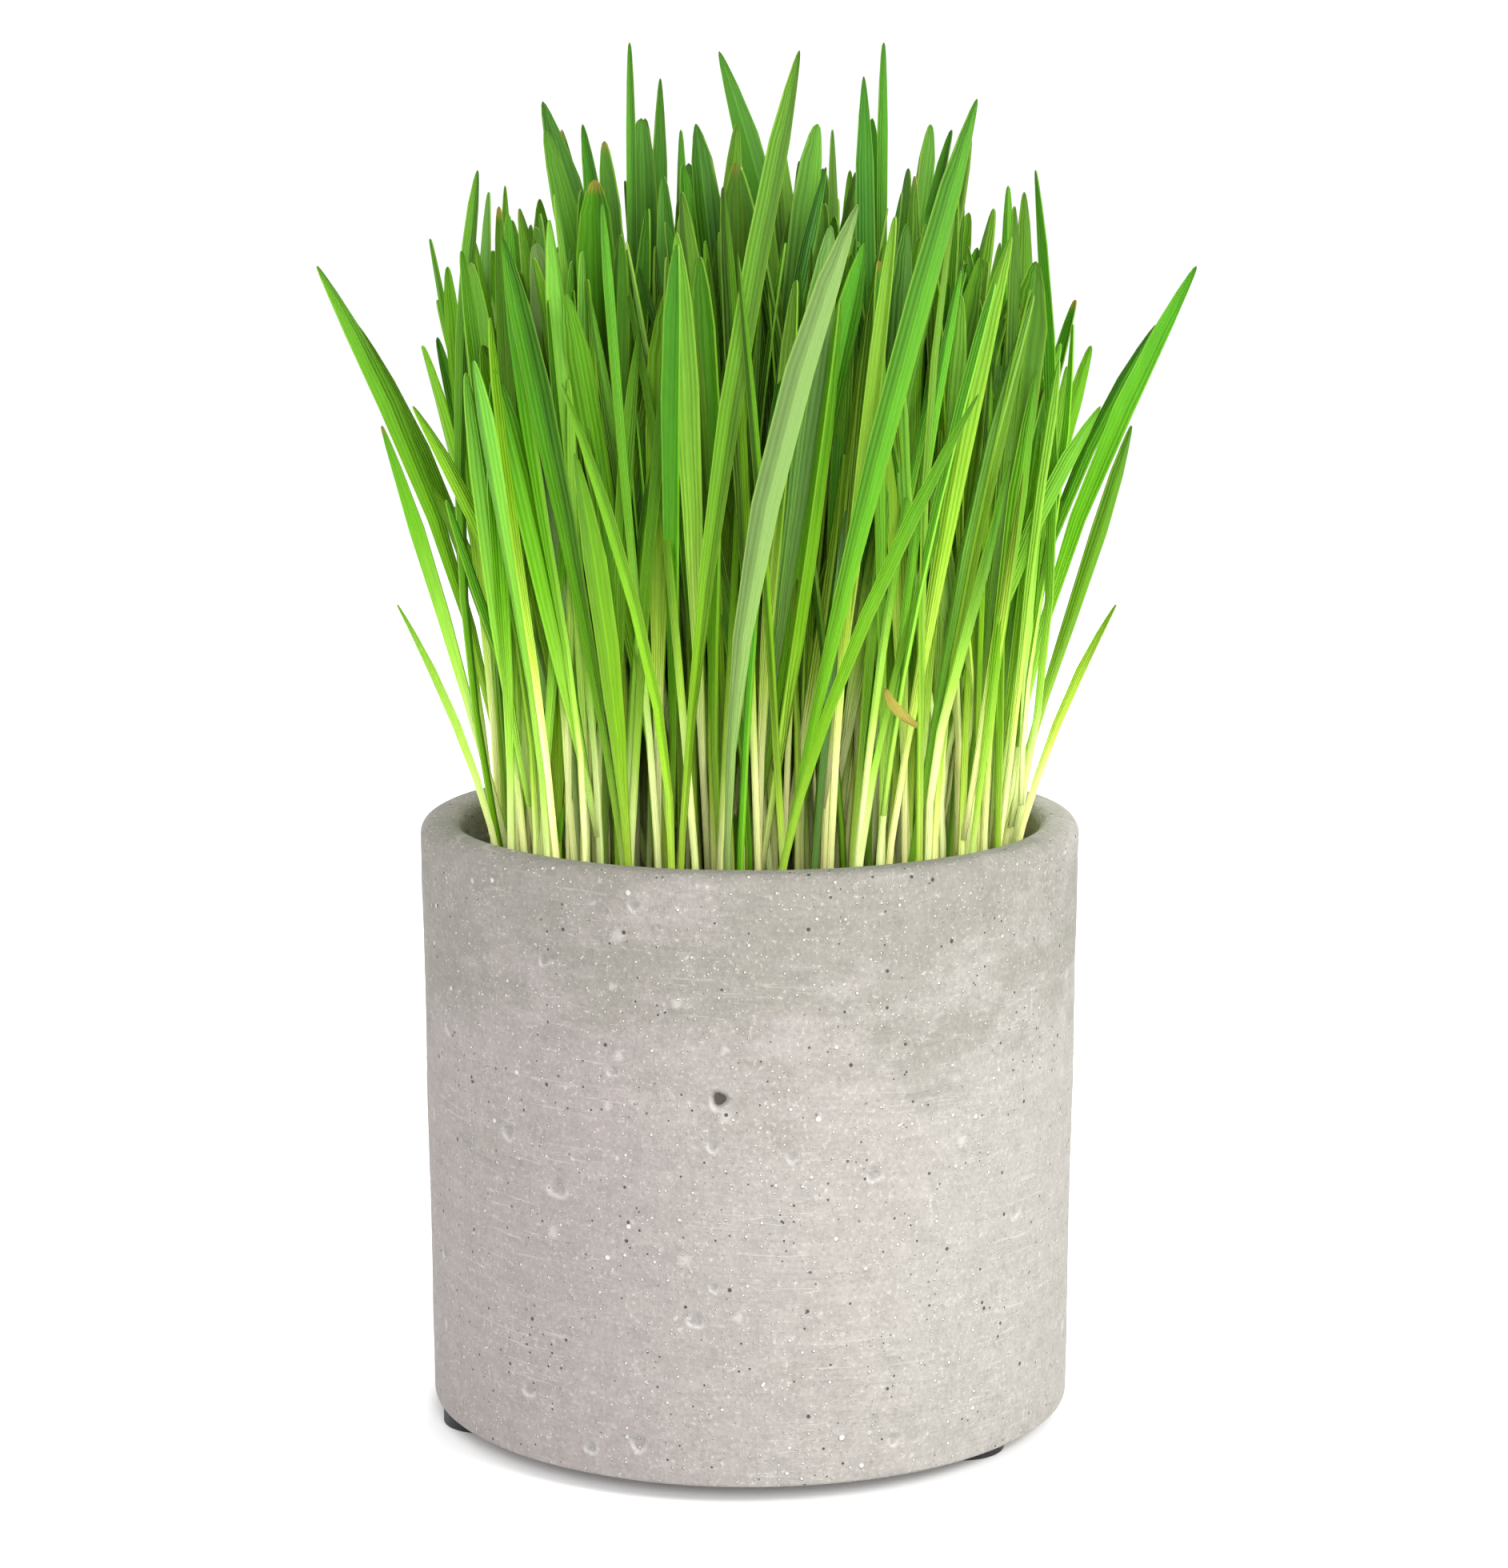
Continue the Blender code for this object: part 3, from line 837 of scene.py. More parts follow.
            # a dent gets a painted highlight on its lower rim and painted shade on its upper rim and inside
            if bubble.depth > 0.0:
                ring = np.exp(-((far - 0.95) / 0.20) ** 2)
                painted_highlight = ring * (1.0 - 0.75 * above)
                painted_shade_grey = np.maximum(ring * above, 0.35 * np.clip(1.1 - far, 0.0, 0.5) / 0.5)
                stained["dent"] = np.maximum(stained["dent"], painted_shade_grey)
            else:
                # a blister gets a painted highlight on its lower side
                painted_highlight = np.clip(1.15 - below, 0.0, 0.70)
            stained["lip"] = np.maximum(stained["lip"], painted_highlight)
            # painted shade: the deepest holes are darkened inside
            if bubble.depth > self.hole_depth:
                stained["painted_hole_shade"] = np.maximum(stained["painted_hole_shade"], np.clip(1.0 - far, 0.0, 1.0))
        return stained

    def build(self, material: bpy.types.Material) -> bpy.types.Object:
        """Make the pot.

        Args:
            material: its concrete.

        Returns:
            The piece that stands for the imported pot.
        """
        bm = turned(self.profile(), self.steps)
        bubbles = self.bubbles()
        self.refine(bm, bubbles)
        points = np.array([vert.co for vert in bm.verts])
        moved = self.shift(points, bubbles)
        stained = self.stains(points, bubbles)
        for vert, shift in zip(bm.verts, moved):
            out = vert.co.xy.length
            if out > self.base_radius - 0.0035:
                vert.co.xy *= 1.0 + shift / out
            elif vert.co.z > self.top - 0.004:
                vert.co.z += shift * 0.4
        for face in bm.faces:
            face.smooth = True
        piece = piece_from(bm, "concrete_pot", material, ("pot",))
        for name, values in stained.items():
            store(piece, name, values)
        return piece


@dataclass
class RubberFeet:
    """Three glued rubber discs with a moulded ring under each."""

    radius: float = 0.008
    height: float = 0.0027
    edge: float = 0.0004
    ring: tuple[ProfilePoint, ...] = ((0.0062, 0.0), (0.0060, 0.0003), (0.0054, 0.0003), (0.0052, 0.0))
    steps: int = 56
    sharp: float = 40.0
    places: tuple[tuple[str, float, float], ...] = (
        ("foot_right", 0.0378, -0.0286),
        ("foot_back", 0.0088, 0.0482),
        ("foot_left", -0.0483, -0.0143),
    )

    def build(self, material: bpy.types.Material) -> list[bpy.types.Object]:
        """Make the feet.

        Args:
            material: their rubber.

        Returns:
            One piece for each foot.
        """
        pieces = []
        for node, x, y in self.places:
            top_edge = (self.radius, self.height)
            low_edge = (self.radius, 0.0)
            points = [(0.0, self.height)]
            points += rounded(points[0], top_edge, low_edge, self.edge, 4)
            points += rounded(top_edge, low_edge, (0.0, 0.0), self.edge, 4)
            points += [*self.ring, (0.0, 0.0)]
            bm = turned(points, self.steps)
            bmesh.ops.translate(bm, verts=bm.verts, vec=(x, y, 0.0))
            for face in bm.faces:
                face.smooth = True
            for edge in bm.edges:
                edge.smooth = edge.calc_face_angle(0.0) < math.radians(self.sharp)
            pieces.append(piece_from(bm, f"{node}_pad", material, (node,)))
        return pieces


@dataclass
class SeedBed:
    """The felted mat of roots and soil, with the husks that lie on it."""

    radius: float = 0.0502
    edge: float = 0.0015
    steps: int = 220
    spacing: float = 0.0013
    crumb: float = 0.0012
    seed_count: int = 420
    seed_length: float = 0.0052
    seed_width: float = 0.0024
    seed_pinch: float = 0.25
    bare_edge: float = 0.003

    def build_mat(self, material: bpy.types.Material) -> bpy.types.Object:
        """Make the crumbly mat.

        Args:
            material: its earth.

        Returns:
            The mat piece.
        """
        top_corner = (self.radius, MAT_TOP)
        low_corner = (self.radius, MAT_BOTTOM)
        points = [(0.0, MAT_TOP)]
        points += rounded(points[0], top_corner, low_corner, self.edge, 4)
        points += [low_corner, (0.0, MAT_BOTTOM)]
        bm = turned(filled(points, self.spacing), self.steps)
        for vert in bm.verts:
            if vert.co.z > MAT_TOP - self.crumb:
                rough = noise.fractal(vert.co * 330.0, 0.9, 2.0, 4)
                vert.co.z += min(max(rough * 0.0008, -self.crumb), self.crumb)
        for face in bm.faces:
            face.smooth = True
        return piece_from(bm, "root_mat", material, ("wheatgrass",))

    def build_seeds(self, material: bpy.types.Material) -> bpy.types.Object:
        """Scatter the husks over the mat.

        Args:
            material: the husks' finish.

        Returns:
            One piece with every husk.
        """
        rng = random.Random(31)
        grain = bmesh.new()
        bmesh.ops.create_uvsphere(grain, u_segments=8, v_segments=5, radius=1.0)
        template = bpy.data.meshes.new("grain")
        grain.to_mesh(template)
        shape = np.array([vert.co for vert in grain.verts])
        grain.free()
        bm = bmesh.new()
        places = []
        tones = []
        for _ in range(self.seed_count):
            bm.from_mesh(template)
            reach = (self.radius - self.bare_edge) * math.sqrt(rng.random())
            angle = rng.uniform(0.0, math.tau)
            turn = rng.uniform(0.0, math.pi)
            tilt = rng.gauss(0.0, 0.3)
            size = rng.uniform(0.75, 1.15)
            level = math.cos(tilt)
            long = np.array((math.cos(turn) * level, math.sin(turn) * level, math.sin(tilt)))
            side = np.array((-math.sin(turn), math.cos(turn), 0.0))
            up = np.cross(long, side)
            pinch = 1.0 - self.seed_pinch * np.abs(shape[:, 0])
            grains = np.outer(shape[:, 0] * self.seed_length / 2.0, long)
            grains += np.outer(shape[:, 1] * pinch * self.seed_width / 2.0, side)
            grains += np.outer(shape[:, 2] * pinch * self.seed_width / 2.3, up)
            middle = (reach * math.cos(angle), reach * math.sin(angle), MAT_TOP + rng.uniform(0.0, 0.0010))
            places.append(grains * size + np.array(middle))
            tones.append(np.full(len(shape), rng.random()))
        for face in bm.faces:
            face.smooth = True
        piece = piece_from(bm, "seed_husks", material)
        place_vertices(piece, np.concatenate(places))
        store(piece, "tone", np.concatenate(tones))
        return piece


def place_vertices(piece: bpy.types.Object, points: np.ndarray) -> None:
    """Put every vertex of a piece at its point."""
    piece.data.vertices.foreach_set("co", points.astype(np.float32).ravel())
    piece.data.update()


def store(piece: bpy.types.Object, name: str, values: np.ndarray) -> None:
    """Keep one number for each vertex of a piece under a name."""
    attribute = piece.data.attributes.new(name, "FLOAT", "POINT")
    attribute.data.foreach_set("value", values.astype(np.float32))


class LeafKind(Enum):
    """What a leaf is: a shoot's own blade, its second leaf or a withered one."""

    SHOOT = "shoot"
    SECOND = "second"
    WITHERED = "withered"


@dataclass
class Leaf:
    """One leaf: its midline, its width and how it is folded and coloured."""

    root: np.ndarray
    tip: np.ndarray
    width: float
    early: float
    turn: float
    kind: LeafKind = LeafKind.SHOOT
    twist: float = 0.0
    bow: float = 0.0
    cup: float = 0.3
    # painted shade across the fold: how much lighter one half of the blade is than the other
    painted_fold_shade: float = 0.1
    lift: float = 0.0
    tone: float = 0.5
    shade: float = 0.5
    age: float = 0.0
    point: float = 0.03
    blunt: float = 0.45
    opening: tuple[float, float] = (0.20, 0.86)
    look: tuple[float, ...] = ()

    stem_width: ClassVar[float] = 0.0019
    stem_depth: ClassVar[float] = 0.0018
    blade_depth: ClassVar[float] = 0.0012

    def centre(self, share: float) -> np.ndarray:
        """Point of the midline.

        Args:
            share: 0 at the root and 1 at the tip, by height.

        Returns:
            The point.
        """
        sideways = 2.0 * self.early * share * (1.0 - share) + share * share
        point = self.root + (self.tip - self.root) * share
        point[:2] = self.root[:2] + (self.tip - self.root)[:2] * sideways
        return point

    def solid_section(self, share: float) -> tuple[float, float]:
        """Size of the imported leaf's cross-section.

        Args:
            share: 0 at the root and 1 at the tip, by height.

        Returns:
            Width and depth.
        """
        stem = min(self.stem_width, self.width)
        if share <= 0.15:
            return stem, self.stem_depth
        if share <= 0.6:
            blend = (share - 0.15) / 0.45
            depth = self.stem_depth + (self.blade_depth - self.stem_depth) * blend
            return stem + (self.width - stem) * blend, depth
        taper = max(0.0, (share - 0.9) / 0.1)
        return self.width * (1.0 - taper), self.blade_depth

    def outline_at(self, heights: np.ndarray, thin: float) -> tuple[np.ndarray, np.ndarray]:
        """Ends of the leaf's flat seen from above, and its half depth.

        Args:
            heights: the heights to look at.
            thin: what the depth is multiplied by.

        Returns:
            Ends as (heights, 2, 2), not a number above the tip, and half depths.
        """
        ends = np.full((len(heights), 2, 2), np.nan)
        depths = np.zeros(len(heights))
        for index, height in enumerate(heights):
            share = (height - self.root[2]) / (self.tip[2] - self.root[2])
            if share > 1.0:
                break
            width, depth = self.solid_section(share)
            depth *= thin
            half = max(width - depth, 0.0) / 2.0
            wide = np.array((math.cos(self.turn), math.sin(self.turn)))
            middle = self.centre(share)[:2]
            ends[index] = (middle - wide * half, middle + wide * half)
            depths[index] = depth / 2.0
        return ends, depths


@dataclass
class LeafRule:
    """Where the leaves grow: the chosen ones, then seeded ones that stand clear of each other."""

    root_circle: float = 0.0475
    crest: float = 0.229
    crest_fall: float = 0.011
    crest_radius: float = 0.049
    spread_limit: float = 0.058
    front_line: float = -0.037
    short_line: float = -0.034
    short_height: float = 0.212
    wall_limit: float = 0.0515
    clearance: float = 0.0002
    step: float = 0.012
    tallest: float = 0.250
    lean_share: float = 0.15
    least_lean: float = 0.001
    lean_spread: float = 0.008
    stray_share: float = 0.16
    stray_lean: float = 0.014
    usual_droop: float = 0.014
    most_droop: float = 0.045
    blade_width: float = 0.0046
    width_spread: float = 0.0012
    width_range: tuple[float, float] = (0.0018, 0.0070)
    turn_spread: float = 0.8
    solid_count: int = 270
    solid_touches: int = 1
    full_count: int = 640
    extra_touches: int = 5
    extra_drop: float = 0.010
    extra_width: float = 0.62
    extra_depth: float = 0.35
    candidate_limit: int = 8000
    seed: int = 11

    # Root x, root y, tip x, tip y, tip z and width in millimetres, early, turn in degrees, then how light
    paired: tuple[tuple[float, ...], ...] = (
        (-43.6, 2, -77.3, 0, 210, 3.8, 0.07, 8),
        (-42.1, -5, -65.6, -6, 182, 3.0, 0.41, -14),
        (-42.8, 10, -71.4, 11, 199, 2.6, -0.07, 30),
        (-41.6, 16, -60.1, 16, 195, 3.0, 0.20, -20),
        (-38.5, 24, -57.9, 24, 203, 3.0, 0.09, 35),
        (-39.2, -13, -59.3, -14, 186, 2.8, -0.41, 20),
        (-43.1, -9, -47.7, -10, 227, 2.3, 3.09, 25),
        (-43.8, -14, -62.5, -15, 151, 1.6, 0.20, 15),
        (-40.7, 5, -46.7, 4, 223, 3.0, 1.40, -35),
        (-40.5, 12, -44.4, 13, 224, 2.6, 0.89, 15),
        (-33.0, -24, -43.1, -24, 221, 2.8, 0.92, -10),
        (-33.0, 8, -41.6, 9, 220, 4.2, -0.40, 40),
        (-20.7, -31, -42.0, -33, 216, 4.4, 0.35, 12),
        (-25.4, -15, -37.7, -16, 212, 4.6, 0.00, -18),
        (-18.0, 3, -36.4, 2, 234, 5.4, 0.00, 10),
        (-19.0, 15, -34.2, 15, 234, 2.2, -0.10, 30),
        (-20.0, 20, -30.6, 21, 235, 3.8, -0.10, -15),
        (-22.5, 27, -26.9, 28, 227, 4.0, -0.21, 20),
        (-20.5, -8, -21.0, -8, 249, 1.7, 0.50, 0),
        (-17.5, -4, -19.2, -4, 236, 5.0, 0.00, 15),
        (-15.0, 1, -18.6, 1, 236, 4.2, 0.20, -15),
        (-11.6, 12, -12.5, 13, 234, 2.0, 0.50, -30),
        (-1.8, -12, -9.4, -12, 235, 4.8, -0.26, -8),
        (-6.5, 8, -2.4, 9, 235, 3.9, -0.60, 25),
    )
    single: tuple[tuple[float, ...], ...] = (
        (-16.0, 10, -37.3, 10, 239, 6.2, -0.05, 14, 0.1),
        (3.3, -45, 37.8, -43, 239, 4.2, 0.39, 6, 0.55),
        (12.0, 17, -5.6, 16, 248, 4.8, -0.50, -6, 0.6),
        (-12.5, -44, 8.3, -39, 247, 3.8, 0.16, 4, 0.45),
        (-15.9, 5, -16.0, 5, 243, 3.0, 0.50, 20, 0.3),
        (21.0, -20, 19.6, -20, 243, 3.4, -0.10, -12, 0.5),
        (-3.5, -46, 17.6, -62, 222, 4.8, -0.14, 5, 1.0),
        (-20.3, -42, -29.0, -54, 181, 3.8, 0.15, -6, 0.45),
        (-13.9, -46, -31.6, -45, 192, 1.9, -0.14, 20, 0.65),
        (3.4, -44, 37.6, -58, 191, 2.2, 0.23, -20, 0.6),
        (9.1, -8, 16.6, -8, 215, 8.2, -0.62, 3, 0.05),
        (29.5, -36, 34.9, -34, 223, 2.0, -0.49, 60, 0.8),
        (-22.8, -28, -19.0, -28, 200, 2.6, -0.60, 10, 0.6),
        (44.0, -15, 38.1, -15, 214, 2.6, -0.50, -25, 0.6),
        (-34.0, -22, -33.0, -24, 168, 4.2, 0.30, 6, 0.2),
        (-8.0, 43, -16.0, 62, 214, 4.6, 0.05, 12, 0.4),
        (24.0, 38, 33.0, 57, 196, 4.0, 0.10, -24, 0.6),
        (-27.0, 36, -38.0, 52, 190, 3.6, 0.12, 28, 0.5),
    )

    def chosen(self) -> list[Leaf]:
        """The leaves listed for the outline and the front.

        Returns:
            The leaves, each mirrored one after its twin.
        """
        leaves = []
        for row in self.paired + self.single:
            root_x, root_y, tip_x, tip_y, tip_z, width = (value / 1000.0 for value in row[:6])
            turn = math.radians(row[7])
            root = np.array((root_x, root_y, MAT_TOP))
            tip = np.array((tip_x, tip_y, tip_z))
            leaves.append(Leaf(root, tip, width, row[6], turn, look=row[8:]))
            if row in self.paired:
                root = np.array((MIRROR_SHIFT - root_x, root_y, MAT_TOP))
                tip = np.array((MIRROR_SHIFT - tip_x, tip_y, tip_z))
                leaves.append(Leaf(root, tip, width, row[6], -turn))
        return leaves

    def candidate(self, rng: random.Random, drop: float) -> tuple[Leaf, float]:
        """A leaf rooted anywhere in the mat.

        Args:
            rng: the rule's random draws.
            drop: how much its tip is lowered.

        Returns:
            The leaf, and how far its tip is from the axis.
        """
        radius = self.root_circle * math.sqrt(rng.random())
        angle = rng.uniform(0.0, math.tau)
        root = (radius * math.cos(angle), radius * math.sin(angle))
        lean_angle = angle + rng.gauss(0.0, 1.1)
        lean = self.least_lean + radius * self.lean_share + abs(rng.gauss(0.0, self.lean_spread))
        if rng.random() < self.stray_share:
            lean += self.stray_lean
        tip_x = root[0] + lean * math.cos(lean_angle)
        tip_y = root[1] + lean * math.sin(lean_angle)
        reach = math.hypot(tip_x, tip_y)
        crest = self.crest - self.crest_fall * (reach / self.crest_radius) ** 3
        tip_z = crest - drop - min(rng.expovariate(1.0 / self.usual_droop), self.most_droop)
        front = min(max((-root[1] - 0.024) / 0.014, 0.0), 1.0)
        narrowest, widest = self.width_range
        width = min(max(rng.gauss(self.blade_width, self.width_spread), narrowest), widest)
        width *= 1.0 - 0.5 * front
        early = rng.uniform(-0.05, 0.50)
        turn = rng.gauss(0.0, self.turn_spread)
        tip = np.array((tip_x, tip_y, tip_z))
        return Leaf(np.array((*root, MAT_TOP)), tip, width, early, turn), reach

    @staticmethod
    def gaps(ends: np.ndarray, others: np.ndarray) -> np.ndarray:
        """Distance from the flats of one leaf to those of many others at each height.

        Args:
            ends: the leaf's flats, (heights, 2, 2).
            others: the other leaves' flats, (leaves, heights, 2, 2).

        Returns:
            Distances, (leaves, heights), 0 where two flats cross.
        """
        nearest = np.full(others.shape[:2], np.inf)
        for first, second in ((ends[None], others), (others, ends[None])):
            along = second[..., 1, :] - second[..., 0, :]
            length = np.maximum((along ** 2).sum(-1), 1e-12)
            for corner in (0, 1):
                to_corner = first[..., corner, :] - second[..., 0, :]
                share = np.clip((to_corner * along).sum(-1) / length, 0.0, 1.0)
                miss = to_corner - along * share[..., None]
                nearest = np.fmin(nearest, np.sqrt((miss ** 2).sum(-1)))
        own = ends[None, :, 1] - ends[None, :, 0]
        their = others[:, :, 1] - others[:, :, 0]
        offset = others[:, :, 0] - ends[None, :, 0]
        cross = own[..., 0] * their[..., 1] - own[..., 1] * their[..., 0]
        cross = np.where(np.abs(cross) < 1e-12, 1e-12, cross)
        on_own = (offset[..., 0] * their[..., 1] - offset[..., 1] * their[..., 0]) / cross
        on_their = (offset[..., 0] * own[..., 1] - offset[..., 1] * own[..., 0]) / cross
        crossing = (on_own > 0.0) & (on_own < 1.0) & (on_their > 0.0) & (on_their < 1.0)
        return np.where(crossing, 0.0, nearest)

    def grow(self) -> list[Leaf]:
        """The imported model's leaves in its own order, then thinner ones between them.

        Returns:
            Every shoot.
        """
        heights = np.arange(MAT_TOP, self.tallest, self.step)
        leaves = self.chosen()
        outlines = [leaf.outline_at(heights, 1.0) for leaf in leaves]
        rng = random.Random(self.seed)
        for _ in range(self.candidate_limit):
            if len(leaves) >= self.full_count:
                break
            solid = len(leaves) < self.solid_count
            thin = 1.0 if solid else self.extra_depth
            leaf, reach = self.candidate(rng, 0.0 if solid else self.extra_drop)
            leaf.width *= 1.0 if solid else self.extra_width
            if reach > self.spread_limit or (leaf.root[1] < self.front_line and len(leaves) % 4):
                continue
            if leaf.tip[1] < self.short_line and leaf.tip[2] < self.short_height:
                continue
            ends, depths = leaf.outline_at(heights, thin)
            if np.hypot(*ends[1].T).max() + depths[1] > self.wall_limit:
                continue
            other_ends = np.array([outline[0] for outline in outlines])
            other_depths = np.array([outline[1] for outline in outlines]) * thin
            gaps = self.gaps(ends, other_ends) - depths[None] - other_depths
            touched = np.count_nonzero((gaps < self.clearance).any(axis=1))
            if touched <= (self.solid_touches if solid else self.extra_touches):
                leaves.append(leaf)
                outlines.append((ends, depths))
        return leaves


@dataclass
class GrassLeaves:
    """Every leaf of the tuft, shaped from one short tube of rings."""

    stations: tuple[float, ...] = (0.0, 0.12, 0.26, 0.42, 0.60, 0.78, 0.90, 0.955, 0.985, 0.996, 1.0)
    corners: int = 6
    stem_radius: float = 0.00065
    second_stem_radius: float = 0.00055
    skin: float = 0.00034
    least_half_width: float = 0.00008
    root_depth: float = 0.003
    deep_green_share: float = 0.08
    deep_green_lift: float = 0.045
    second_share: float = 0.35
    second_reach: float = 0.058
    short_line: float = -0.030
    short_height: float = 0.205
    withered_root: tuple[float, float, float] = (0.0286, -0.0430, 0.1336)
    withered_tip: tuple[float, float, float] = (0.0232, -0.0445, 0.1402)
    withered_width: float = 0.0016

    def strip(self) -> bpy.types.Mesh:
        """Tube of rings, one for each station, with its ends closed.

        Returns:
            The mesh that every leaf is shaped from, a metre between its rings.
        """
        bm = bmesh.new()
        bmesh.ops.create_circle(bm, cap_ends=True, segments=self.corners, radius=1.0)
        top = bm.faces[:][0]
        if top.normal.z > 0.0:
            bmesh.ops.reverse_faces(bm, faces=[top])
        first = top
        for _ in self.stations[1:]:
            grown = bmesh.ops.extrude_face_region(bm, geom=[top])["geom"]
            if top is not first:
                bmesh.ops.delete(bm, geom=[top], context="FACES_ONLY")
            top = next(item for item in grown if isinstance(item, bmesh.types.BMFace))
            bmesh.ops.translate(bm, verts=top.verts[:], vec=(0.0, 0.0, 1.0))
        bmesh.ops.recalc_face_normals(bm, faces=bm.faces)
        for face in bm.faces:
            face.smooth = True
        for edge in bm.edges:
            lengthwise = abs(edge.verts[0].co.z - edge.verts[1].co.z) > 0.5
            high = min(vert.co.z for vert in edge.verts) > 1.5
            edge.smooth = not (lengthwise and high)
        mesh = bpy.data.meshes.new("leaf_strip")
        bm.to_mesh(mesh)
        bm.free()
        return mesh

    def section(self, leaf: Leaf, share: float, angles: np.ndarray) -> tuple[np.ndarray, np.ndarray]:
        """Cross-section of a leaf: a round stem that opens into a cupped blade.

        Args:
            leaf: the leaf.
            share: the share of its height.
            angles: the corners' angles round the stem.

        Returns:
            Each corner's place along the width and along the back, in metres.
        """
        open_from, open_to = leaf.opening
        blend = min(max((share - open_from) / (open_to - open_from), 0.0), 1.0)
        blend = blend * blend * (3.0 - 2.0 * blend)
        stem = self.stem_radius if leaf.kind is LeafKind.SHOOT else self.second_stem_radius
        stem = min(stem, leaf.width / 2.0)
        left = (1.0 - share) * (leaf.tip[2] - leaf.root[2])
        narrow = min(left / leaf.point, 1.0) ** leaf.blunt
        half = leaf.width / 2.0 * narrow + self.least_half_width
        flat = np.where(np.abs(np.cos(angles)) < 0.1, 0.0, np.sign(np.cos(angles)))
        side = np.sign(np.sin(angles))
        folded = leaf.cup * half * (np.abs(flat) - 0.5) + side * self.skin / 2.0
        width = stem * np.cos(angles) * (1.0 - blend) + half * flat * blend
        back = stem * np.sin(angles) * (1.0 - blend) + folded * blend
        return width, back

    def points(self, leaf: Leaf, angles: np.ndarray) -> np.ndarray:
        """Every ring of one leaf, bottom to top.

        Args:
            leaf: the leaf.
            angles: the corners' angles round the stem.

        Returns:
            Points, the corners of one ring after those of the ring below.
        """
        rings = []
        for share in self.stations:
            low = leaf.centre(max(share - 0.02, 0.0))
            high = leaf.centre(min(share + 0.02, 1.0))
            tangent = (high - low) / np.linalg.norm(high - low)
            turn = leaf.turn + leaf.twist * (share - 0.5)
            wide = np.array((math.cos(turn), math.sin(turn), 0.0))
            wide -= tangent * wide.dot(tangent)
            wide /= np.linalg.norm(wide)
            back = np.cross(tangent, wide)
            centre = leaf.centre(share)
            centre = centre + back * leaf.bow * math.sin(share * math.pi * 2.0)
            if share == 0.0 and leaf.kind is LeafKind.SHOOT:
                centre[2] -= self.root_depth
            width_part, back_part = self.section(leaf, share, angles)
            rings.append(centre + np.outer(width_part, wide) + np.outer(back_part, back))
        return np.concatenate(rings)

    def dress(self, leaf: Leaf, rng: random.Random) -> None:
        """Give a leaf its own twist, bow, cup, point and colouring.

        Args:
            leaf: the leaf, changed here.
            rng: the random draws.
        """
        leaf.twist = rng.gauss(0.0, 0.5)
        leaf.bow = rng.gauss(0.0, 0.0008)
        leaf.cup = rng.uniform(0.20, 0.75) * rng.choice((-1.0, 1.0))
        leaf.painted_fold_shade = rng.gauss(0.0, 0.14)
        deep_green = rng.random() < self.deep_green_share
        leaf.lift = self.deep_green_lift if deep_green else rng.uniform(-0.022, 0.014)
        leaf.tone = rng.random()
        leaf.shade = rng.random()
        leaf.age = rng.random() * 0.9
        leaf.point = rng.uniform(0.008, 0.022)
        leaf.blunt = rng.uniform(0.42, 0.68)
        if leaf.look:
            leaf.shade = leaf.look[0]
            leaf.twist = 0.1
            leaf.age = 0.3
            leaf.point = 0.018
            leaf.blunt = 0.65
            leaf.lift = 0.020
            leaf.opening = (0.12, 0.68)

    def second_leaf(self, leaf: Leaf, rng: random.Random) -> Leaf:
        """A smaller leaf that parts from a shoot near its foot.

        Args:
            leaf: the shoot.
            rng: the random draws.

        Returns:
            The smaller leaf.
        """
        start = rng.uniform(0.05, 0.18)
        end = start + (1.0 - start) * rng.uniform(0.70, 1.0)
        root = leaf.centre(start)
        tip = leaf.centre(end)
        away = math.atan2(leaf.tip[1], leaf.tip[0]) + rng.gauss(0.0, 1.1)
        lean = rng.uniform(0.004, 0.016)
        tip[:2] += lean * np.array((math.cos(away), math.sin(away)))
        width = min(max(rng.gauss(0.0026, 0.0009), 0.0012), 0.0045)
        early = rng.uniform(0.30, 0.62)
        made = Leaf(root, tip, width, early, rng.uniform(-1.5, 1.5), LeafKind.SECOND)
        self.dress(made, rng)
        made.opening = (0.0, 0.60)
        return made

    def all_leaves(self, shoots: list[Leaf]) -> list[Leaf]:
        """The shoots with their second leaves and the withered one.

        Args:
            shoots: the leaves that grow from the mat, dressed here.

        Returns:
            Every leaf.
        """
        rng = random.Random(43)
        seconds = []
        for leaf in shoots:
            self.dress(leaf, rng)
            if rng.random() < self.second_share:
                second = self.second_leaf(leaf, rng)
                short = second.tip[1] < self.short_line and second.tip[2] < self.short_height
                if np.hypot(*second.tip[:2]) < self.second_reach and not short:
                    seconds.append(second)
        root = np.array(self.withered_root)
        tip = np.array(self.withered_tip)
        withered = Leaf(root, tip, self.withered_width, 0.9, 0.3, LeafKind.WITHERED)
        withered.age = 1.0
        withered.point = 0.003
        withered.opening = (0.0, 0.3)
        return shoots + seconds + [withered]

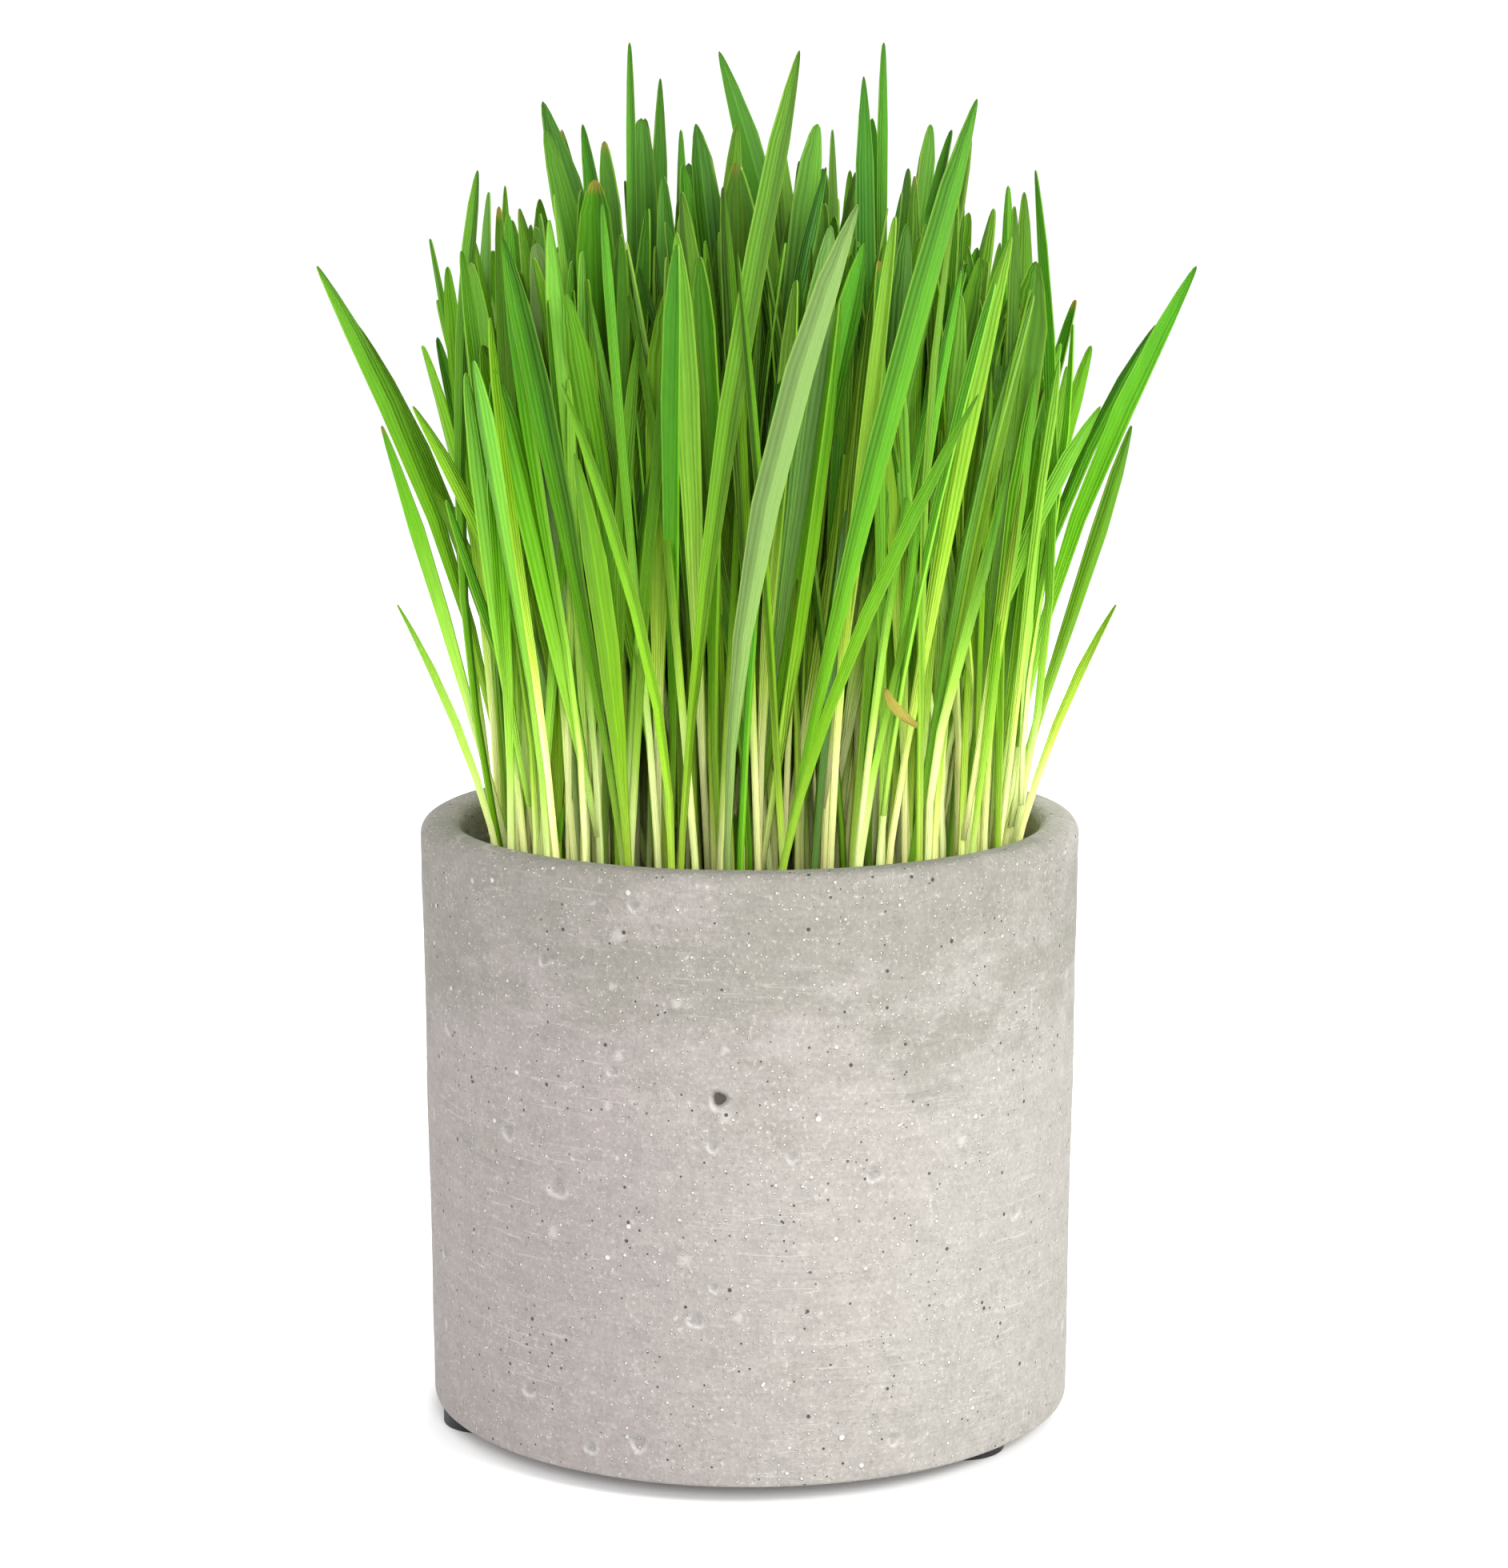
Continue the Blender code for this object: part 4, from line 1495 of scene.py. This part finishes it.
    def build(self, shoots: list[Leaf], material: bpy.types.Material) -> bpy.types.Object:
        """Make the leaves.

        Args:
            shoots: the leaves that grow from the mat.
            material: their finish.

        Returns:
            One piece with every leaf.
        """
        strip = self.strip()
        rest = np.array([vert.co for vert in strip.vertices])
        order = np.lexsort((np.arctan2(rest[:, 1], rest[:, 0]), np.round(rest[:, 2])))
        angles = np.arctan2(rest[order][: self.corners, 1], rest[order][: self.corners, 0])
        leaves = self.all_leaves(shoots)
        bm = bmesh.new()
        places = []
        for leaf in leaves:
            bm.from_mesh(strip)
            place = np.empty_like(rest)
            place[order] = self.points(leaf, angles)
            places.append(place)
        piece = piece_from(bm, "grass_leaves", material, ("wheatgrass",))
        place_vertices(piece, np.concatenate(places))
        ring_of = np.round(rest[:, 2]).astype(int)
        along = np.array(self.stations)[ring_of]
        across = np.where(np.abs(rest[:, 0]) < 0.1, 0.0, np.sign(rest[:, 0]))
        store(piece, "along", np.tile(along, len(leaves)))
        store(piece, "across", np.tile(across, len(leaves)))
        for name in ("tone", "shade", "age", "painted_fold_shade", "lift"):
            own = np.array([getattr(leaf, name) for leaf in leaves])
            store(piece, name, np.repeat(own, len(rest)))
        return piece


@dataclass(frozen=True)
class Lamp:
    """A soft square lamp: where it hangs, its side in metres, its power in watts and its colour."""

    name: str
    place: tuple[float, float, float]
    size: float
    power: float
    tint: Colour = (1.0, 1.0, 1.0)


@dataclass
class Studio:
    """Camera, lights and floor."""

    camera_place: tuple[float, float, float] = (0.00073, -0.690, 0.2333)
    pitch: float = 9.63
    lens: float = 87.98
    sensor: float = 36.0
    lit_height: float = 0.13
    surround_strength: float = 1.07
    floor_radius: float = 4.0
    lamps: tuple[Lamp, ...] = (
        Lamp("key", (0.80, -0.55, 0.75), 0.45, 9.0, (1.0, 0.985, 0.96)),
        Lamp("front", (0.15, -1.10, 0.45), 0.50, 10.0),
        Lamp("back", (0.25, 0.85, 0.85), 0.7, 9.0, (1.0, 1.0, 0.95)),
        Lamp("left", (-0.95, 0.25, 0.22), 0.4, 2.4),
    )

    def camera(self) -> None:
        """Stand the camera where the photograph was taken from."""
        data = bpy.data.cameras.new("camera")
        data.lens = self.lens
        data.sensor_width = self.sensor
        data.sensor_fit = "AUTO"
        data.clip_start = 0.01
        seen_from = bpy.data.objects.new("camera", data)
        seen_from.location = self.camera_place
        seen_from.rotation_euler = (math.radians(90.0 - self.pitch), 0.0, 0.0)
        bpy.context.scene.collection.objects.link(seen_from)
        bpy.context.scene.camera = seen_from

    def hang(self, lamp: Lamp) -> None:
        """Hang a lamp that faces the tuft.

        Args:
            lamp: the lamp.
        """
        data = bpy.data.lights.new(lamp.name, "AREA")
        data.shape = "SQUARE"
        data.size = lamp.size
        data.energy = lamp.power
        data.color = lamp.tint
        hung = bpy.data.objects.new(lamp.name, data)
        hung.location = lamp.place
        aim = Vector((0.0, 0.0, self.lit_height)) - Vector(lamp.place)
        hung.rotation_euler = aim.to_track_quat("-Z", "Y").to_euler()
        bpy.context.scene.collection.objects.link(hung)

    def world(self) -> None:
        """Light everything softly from a near-white surround."""
        surround = bpy.data.worlds.new("surround")
        surround.use_nodes = True
        shade = surround.node_tree.nodes["Background"]
        shade.inputs["Color"].default_value = (1.0, 1.0, 1.0, 1.0)
        shade.inputs["Strength"].default_value = self.surround_strength
        bpy.context.scene.world = surround

    def floor(self, material: bpy.types.Material) -> None:
        """Lay the floor.

        Args:
            material: its finish.
        """
        bm = bmesh.new()
        bmesh.ops.create_circle(bm, cap_ends=True, segments=96, radius=self.floor_radius)
        mesh = bpy.data.meshes.new("studio_floor")
        bm.to_mesh(mesh)
        bm.free()
        mesh.materials.append(material)
        ground = bpy.data.objects.new("studio_floor", mesh)
        bpy.context.scene.collection.objects.link(ground)

    def build(self) -> None:
        """Set up the whole studio."""
        self.camera()
        self.world()
        for lamp in self.lamps:
            self.hang(lamp)
        self.floor(FloorFinish().build())
        bpy.context.scene.view_settings.view_transform = "Standard"
        bpy.context.scene.view_settings.look = "None"


def main() -> None:
    """Build every piece in order and report it."""
    logging.basicConfig(level=logging.INFO, format="%(message)s")
    ConcretePot().build(ConcreteFinish().build())
    RubberFeet().build(RubberFinish().build())
    earth = EarthFinish().build()
    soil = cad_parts["soil"]
    soil.data.materials.clear()
    soil.data.materials.append(earth)
    bed = SeedBed()
    bed.build_mat(earth)
    bed.build_seeds(SeedFinish().build())
    shoots = LeafRule().grow()
    LOG.info("%d shoots", len(shoots))
    GrassLeaves().build(shoots, LeafFinish().build())
    Studio().build()


if __name__ == "__main__":
    main()
